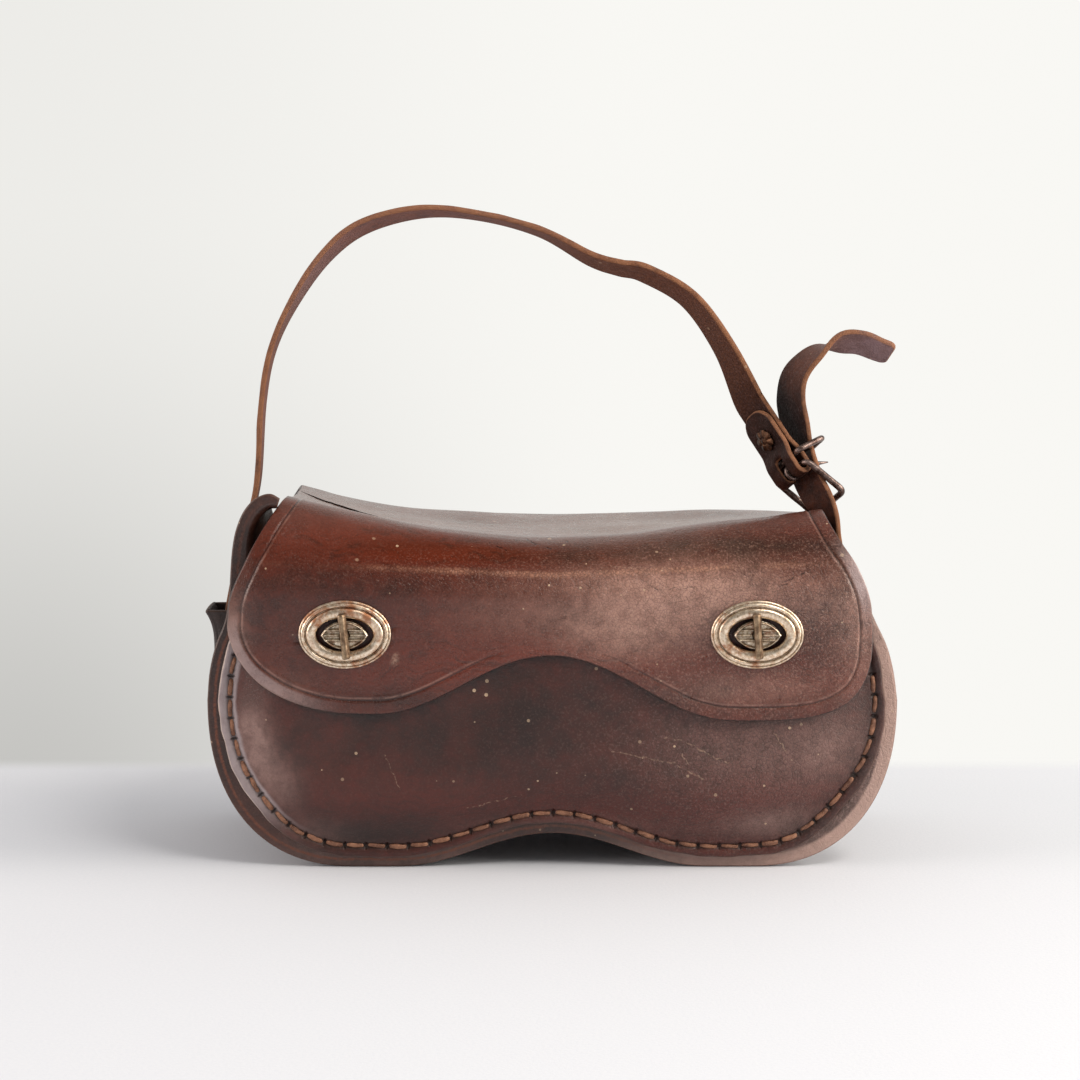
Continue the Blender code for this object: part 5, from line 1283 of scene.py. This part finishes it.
    # the cut edge is painted lighter as a highlight where the rims are lit
    worn = layered(node, look["edge"], [(read["rimSheen"], look["edgeSheen"])]) if "edgeSheen" in look else look["edge"]
    dust = node("TexVoronoi", place, scale["dust"]).node.outputs
    pick, grow, strength = node("SeparateColor", dust["Color"]).node.outputs
    dot = node("LESS_THAN", dust["Distance"], node("MULTIPLY_ADD", grow, 0.07, 0.035))
    dot = node("MULTIPLY", dot, node("GREATER_THAN", pick, 0.35))
    dot = node("MULTIPLY", dot, node("MapRange", strength, 0.0, 1.0, 0.3, look["dust"]))
    layers += [(rawEdge, worn), (dot, leatherColours["dust"])]
    if "scratches" in look:
        flat = crooked(node, node("VectorMath", place, (1.0, 0.0, 1.0), operation="MULTIPLY"), 0.35, 2.4)
        faint = node("MapRange", fleck, 0.35, 0.6, 0.25, 1.0)
        for rows, share, strength, code, depth in (
                (look["scratches"], faint, 0.6, look["scratch"], 0.05),
                (look.get("cracks"), 1.0, 0.9, leatherColours["crack"], -0.25)):
            if rows:
                mask = reduce(partial(node, "MAXIMUM"), [lineMask(node, flat, *row) for row in rows])
                mask = node("MULTIPLY", node("MULTIPLY", mask, share), read.get("front", 1.0))
                mask = node("MULTIPLY", mask, strength)
                layers.append((mask, code))
                relief.append((mask, depth))
    roughening = [(blotch, 0.22), (rawEdge, 0.25), (grainy, 0.04)]
    if "flesh" in look:
        roughening.append((read["inside"], 0.3))
    shine = {"Specular IOR Level": look["spec"], "Coat Weight": look["coat"]}
    if "matt" in read:
        sheen = node("SUBTRACT", 1.0, node("MULTIPLY", read["matt"], 0.75), use_clamp=True)
        shine = {key: node("MULTIPLY", sheen, value) for key, value in shine.items()}
    inputs = {"Base Color": layered(node, look["deep"], layers), "IOR": 1.5, "Coat Roughness": 0.2,
              "Roughness": summed(node, roughening, look["rough"] - 0.11), **shine}
    return finishMaterial(made, inputs, summed(node, relief))


# each leather's colours, shares and wear; its lines are start, end (x, z) and half width, its border and line
# are place or width from the cut edge, width or strength, and colour; the pale and border colours and the lighter
# edge colour are painted highlights, the top's tint is a painted sheen, and the wrap's near-black edge colour is
# a painted shadow along the flap's hem
leatherLooks = {
    "panel": {"base": "#4b261e", "deep": "#361d17", "warm": "#64241a", "dark": "#241410", "pale": "#8f7068",
              "edge": "#5a4036", "edgeSheen": "#c9b6aa", "edgeShare": 0.9, "paleShare": 0.8, "grain": 1.3,
              "grainDepth": 0.03, "rough": 0.36, "coat": 0.10, "spec": 0.42, "dust": 0.8,
              "reads": ["rimSheen", "seam", "run"], "border": (7.6, 0.85, "#a8999a"),
              "flesh": ("#3c281e", "#58402f"), "scratch": "#b09078",
              "scratches": [((22, 43.5), (43, 39.3), 0.5), ((43, 39.3), (53, 33.6), 0.5),
                            ((40, 48.5), (49.6, 45.6), 0.42), ((49.6, 45.6), (62, 39.3), 0.45),
                            ((46, 42.6), (50, 36.4), 0.35), ((78, 50), (84, 40), 0.3), ((-30, 22), (-10, 27), 0.3),
                            ((-58, 44), (-52, 30), 0.3)]},
    "wrap": {"base": "#542518", "deep": "#3c1d15", "warm": "#6c2b1a", "dark": "#26130e", "pale": "#b78d7d",
             "edge": "#241511", "edgeSheen": "#a88678", "edgeShare": 0.95, "paleShare": 0.9, "grain": 1.15,
             "grainDepth": 0.025, "rough": 0.28, "coat": 0.16, "spec": 0.5, "dust": 0.8,
             "reads": ["rimSheen", "seam", "run", "front", "topSheen", "matt"], "border": (4.6, 0.7, "#a3908f"),
             "crease": sheet["crease"], "worn": "#bf8e74", "topSheen": ("#8a6754", 0.5),
             "flesh": ("#3c281e", "#58402f"), "scratch": "#b08c78",
             "scratches": [((20, 108.5), (34, 107.3), 0.25), ((-53.6, 75.6), (-53.2, 77.8), 2.0)],
             "cracks": [((-22, 115.2), (-15, 112.6), 0.3), ((-8, 115.4), (1, 112.8), 0.3),
                        ((6, 114.6), (16, 112.9), 0.22), ((36, 100.6), (50, 101.2), 0.25),
                        ((80, 103), (88, 106), 0.35), ((78, 101), (84, 103), 0.25)]},
    "gusset": {"base": "#3a2018", "deep": "#281711", "warm": "#5a2e1e", "dark": "#1a0f0c", "pale": "#b3938a",
               "edge": "#5a382a", "edgeShare": 0.6, "paleShare": 0.9, "grain": 1.1, "grainDepth": 0.03,
               "rough": 0.36, "coat": 0.18, "spec": 0.5, "dust": 0.4, "reads": ["rimSheen", "lined"],
               "line": (2.7, 0.8, "#7a3f24"), "border": (5.2, 0.8, "#bb9a8e")},
    "strap": {"base": "#4c281c", "deep": "#2c1710", "warm": "#7c452d", "dark": "#24120d", "pale": "#94787a",
              "edge": "#94664a", "edgeShare": 0.85, "paleShare": 0.7, "grain": 1.0, "grainDepth": 0.03,
              "rough": 0.5, "coat": 0.0, "spec": 0.2, "dust": 0.3, "flesh": ("#43251b", "#734833")},
    "keeper": {"base": "#38211a", "deep": "#271712", "warm": "#4d2a1e", "dark": "#1c110d", "pale": "#7a6058",
               "edge": "#4e3428", "edgeShare": 0.9, "paleShare": 0.7, "grain": 1.0, "grainDepth": 0.03,
               "rough": 0.42, "coat": 0.1, "spec": 0.5, "dust": 0.3, "flesh": ("#241510", "#38231a")},
}


# Worn nickel-plated brass, stamped: pale beige metal, brown grime in the grooves and rusty orange patches.
# Grime starts where less than clean of the sky is open.
def plateMaterial(name, light, dull, clean=0.75):
    made, node, place = newMaterial(name)
    patch, speck = node("TexNoise", place, 1.0 / 6.0, 6.0, 0.7), node("TexNoise", place, 1.0 / 1.1, 4.0, 0.65)
    rust = node("MapRange", patch, 0.50, 0.66)
    grime = node("MapRange", node("AmbientOcclusion", None, 0.0012, output="AO", samples=4), clean, clean - 0.4)
    colour = layered(node, dull, [(node("MapRange", speck, 0.35, 0.7), light),
                                  (node("MULTIPLY", rust, 0.8), "#a4623a"),
                                  (node("MULTIPLY", grime, 0.85), "#3a2413")])
    inputs = {"Base Color": colour, "Metallic": 1.0, "Roughness": summed(node, [(speck, 0.2), (rust, 0.25)], 0.2)}
    return finishMaterial(made, inputs, summed(node, [(speck, 0.05), (patch, 0.12)]))


# Steel wire, drawn and then browned by rust and leather dye: dull, with brighter rubbed places.
def wireMaterial(name, light, dark, brown):
    made, node, place = newMaterial(name)
    patch, speck = node("TexNoise", place, 1.0 / 3.0, 5.0, 0.65), node("TexNoise", place, 1.0 / 0.5, 3.0, 0.6)
    colour = layered(node, dark, [(node("MapRange", patch, 0.35, 0.65), light),
                                  (node("MULTIPLY", node("MapRange", speck, 0.45, 0.7), 0.6), brown)])
    inputs = {"Base Color": colour, "Metallic": 0.85, "Roughness": summed(node, [(patch, 0.3)], 0.25)}
    return finishMaterial(made, inputs, summed(node, [(speck, 0.06)]))


# Linen thread, two strands twisted and waxed, browned with use.
def threadMaterial():
    made, node, place = newMaterial("waxed linen thread")
    shade, fibre = node("TexNoise", place, 1.0 / 4.0, 4.0, 0.6), node("TexNoise", place, 1.0 / 0.35, 3.0, 0.6)
    colour = layered(node, "#553022", [(node("MapRange", shade, 0.3, 0.68), "#9a6a50"),
                                       (node("MULTIPLY", node("MapRange", fibre, 0.45, 0.7), 0.4), "#b58a6c")])
    return finishMaterial(made, {"Base Color": colour, "Roughness": 0.62}, summed(node, [(fibre, 0.08)]))


# Torn leather finish: dark raw fibre with no shine.
def crackMaterial():
    inputs = {"Base Color": hexColour("#1d100c"), "Roughness": 0.9, "Specular IOR Level": 0.1}
    return finishMaterial(newMaterial("torn leather finish")[0], inputs)


camera = {"place": (-0.0034, -1.0444, 0.237), "down": 6.88, "lens": 96.6, "sensor": 36.0}
floor = {"table": "#dfe3ec", "wall": "#fffefa", "line": 140.0, "blur": 14.0, "reach": 40.0, "glow": 0.945,
         "leftFar": 0.10, "leftNear": 0.40}


# Matt painted board: pale, with a fine tooth. Past the back line it glows as a stand-in for the lit wall, and
# painted shade darkens that glow to the left and towards the line, by slopes seen from the camera's place.
def floorMaterial():
    made, node, place = newMaterial("matt painted board")
    x, y, _ = node("SeparateXYZ", place).node.outputs
    tooth = node("MULTIPLY", node("TexNoise", place, 1.0 / 1.2, 3.0, 0.6), 0.3)
    far = node("MapRange", y, floor["line"] - floor["blur"], floor["line"] + floor["blur"])
    reach = node("ADD", y, -1000.0 * camera["place"][1])
    below = node("DIVIDE", 1000.0 * camera["place"][2], reach)
    fall = node("MULTIPLY", node("MapRange", node("DIVIDE", x, reach), 0.05, -0.19),
                node("MapRange", below, 0.0, 0.23, floor["leftFar"], floor["leftNear"]))
    glow = node("MULTIPLY", node("SUBTRACT", floor["glow"], fall), far)
    inputs = {"Base Color": layered(node, floor["table"], [(tooth, "#ffffff"), (far, "#000000")]), "Roughness": 0.9,
              "Specular IOR Level": 0.0, "Emission Color": hexColour(floor["wall"]), "Emission Strength": glow}
    return finishMaterial(made, inputs, tooth, 0.25)


# Floor and wall in one level plane.
def makeFloor():
    r = floor["reach"]
    points = np.array([(-r, -r, 0.0), (r, -r, 0.0), (r, r, 0.0), (-r, r, 0.0)])
    made = makeMesh("floor", points, np.array([[0, 1, 2], [0, 2, 3]]), place=False)
    made.data.materials.append(floorMaterial())


lights = {
    "sky": 0.945, "front": 0.36, "skyColour": "#fffefa", "leftFall": 0.10, "zenith": 0.6,
    # name: place, where it points, size, power, colour
    "area": {"window right": ((1.35, -0.30, 0.62), (0.0, 0.0, 0.06), 0.9, 18.0, "#fff6ea"),
             "window above": ((0.6, -0.75, 1.2), (0.0, 0.0, 0.08), 0.5, 7.0, "#fff9f0"),
             "card left": ((-1.3, -0.35, 0.5), (0.0, 0.0, 0.08), 0.8, 8.0, "#fff0e8")},
}


# Sky: darker in front, a little darker to the left and overhead.
def makeLights():
    world = bpy.data.worlds.new("studio")
    bpy.context.scene.world = world
    world.use_nodes = True
    node = partial(addNode, world.node_tree)
    x, y, z = node("SeparateXYZ", node("TexCoord", output="Generated")).node.outputs
    share = node("MapRange", y, -0.9, 0.35, lights["front"], lights["sky"])
    fall = node("MapRange", x, 0.05, -0.19, 0.0, lights["leftFall"])
    above = node("MapRange", z, 0.22, 0.85, 1.0, lights["zenith"])
    strength = node("MULTIPLY", node("SUBTRACT", share, fall), above)
    for key, value in (("Color", hexColour(lights["skyColour"])), ("Strength", strength)):
        setSocket(world.node_tree, world.node_tree.nodes["Background"].inputs[key], value)
    for name, (place, target, size, power, colour) in lights["area"].items():
        data = bpy.data.lights.new(name, "AREA")
        data.shape, data.size, data.energy, data.color = "DISK", size, power, hexColour(colour)[:3]
        made = addObject(name, data)
        made.location = place
        made.rotation_euler = (Vector(target) - Vector(place)).to_track_quat("-Z", "Y").to_euler()


# The photograph's view: from in front, a little above.
def makeCamera():
    data = bpy.data.cameras.new("camera")
    data.sensor_width, data.lens = camera["sensor"], camera["lens"]
    made = addObject("camera", data)
    made.location = camera["place"]
    made.rotation_euler = (math.radians(90.0 - camera["down"]), 0.0, 0.0)
    bpy.context.scene.camera = made


# Gives a piece its material and body, and hides the nodes it stands for.
def finishPiece(piece, material, nodes=(), body="root"):
    piece.data.materials.append(material)
    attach(piece, body)
    if nodes:
        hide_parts(*nodes)


# Finishes a piece in one of the leathers.
def leatherPiece(piece, name, look, node):
    finishPiece(piece, leatherMaterial(name, leatherLooks[look]), [node])
    print(piece.name, "made")


makeCamera()
makeLights()
makeFloor()
bpy.context.scene.view_settings.view_transform = "Standard"
print("camera, lights and floor are set")

leatherPiece(makeFrontPanel(), "moulded vegetable-tanned leather", "panel", "front_panel")
leatherPiece(makeSheet(), "waxed flap leather", "wrap", "back_and_flap")
finishPiece(makeTopCrack(), crackMaterial())
leatherPiece(makeGusset(), "gusset leather", "gusset", "gusset")
strapLeather = leatherMaterial("strap leather, flesh side out", leatherLooks["strap"])
for name, (path, nears), corner, seed in (("long_strap", longStrapPath(), straps["tabCorner"], 41),
                                          ("short_strap", shortStrapPath(), straps["freeCorner"], 42)):
    made = ribbon(name + "_leather", path, nears, (straps["sewnCorner"], corner), strapTones, seed, seed == 41)
    finishPiece(made, strapLeather, [name])
leatherPiece(makeKeeper(), "keeper leather", "keeper", "strap_keeper")
print("straps and keeper made")
brownWire = wireMaterial("browned steel wire", "#92807a", "#483630", "#64483c")
for piece, node in zip(makeBuckle(), ["buckle_frame", "wire_keeper", "buckle_prong"]):
    finishPiece(piece, brownWire, [node])
rosetteBrass = wireMaterial("stamped rosette, browned brass", "#6b4c38", "#2e1d16", "#4a3022")
finishPiece(makeRivet(), rosetteBrass, ["rosette_rivet"])
plated = plateMaterial("stamped nickel-plated brass, tarnished", "#fdeeda", "#d2b597")
bossMetal = plateMaterial("nickel-plated boss, worn", "#fff4e0", "#b8a288", 0.92)
barMetal = wireMaterial("turn bar, rubbed brass", "#b49c80", "#66503e", "#75583f")
for side in ("left", "right"):
    finishPiece(makePlate(side), plated, [side + "_lock_plate"])
    finishPiece(makeBoss(side), bossMetal, [side + "_lock_base"])
    finishPiece(makeBar(side), barMetal, [side + "_lock_knob"], side + "_knob")
print("buckle and locks made")
thread = threadMaterial()
for piece in makeStitches():
    finishPiece(piece, thread)
print("stitches made")
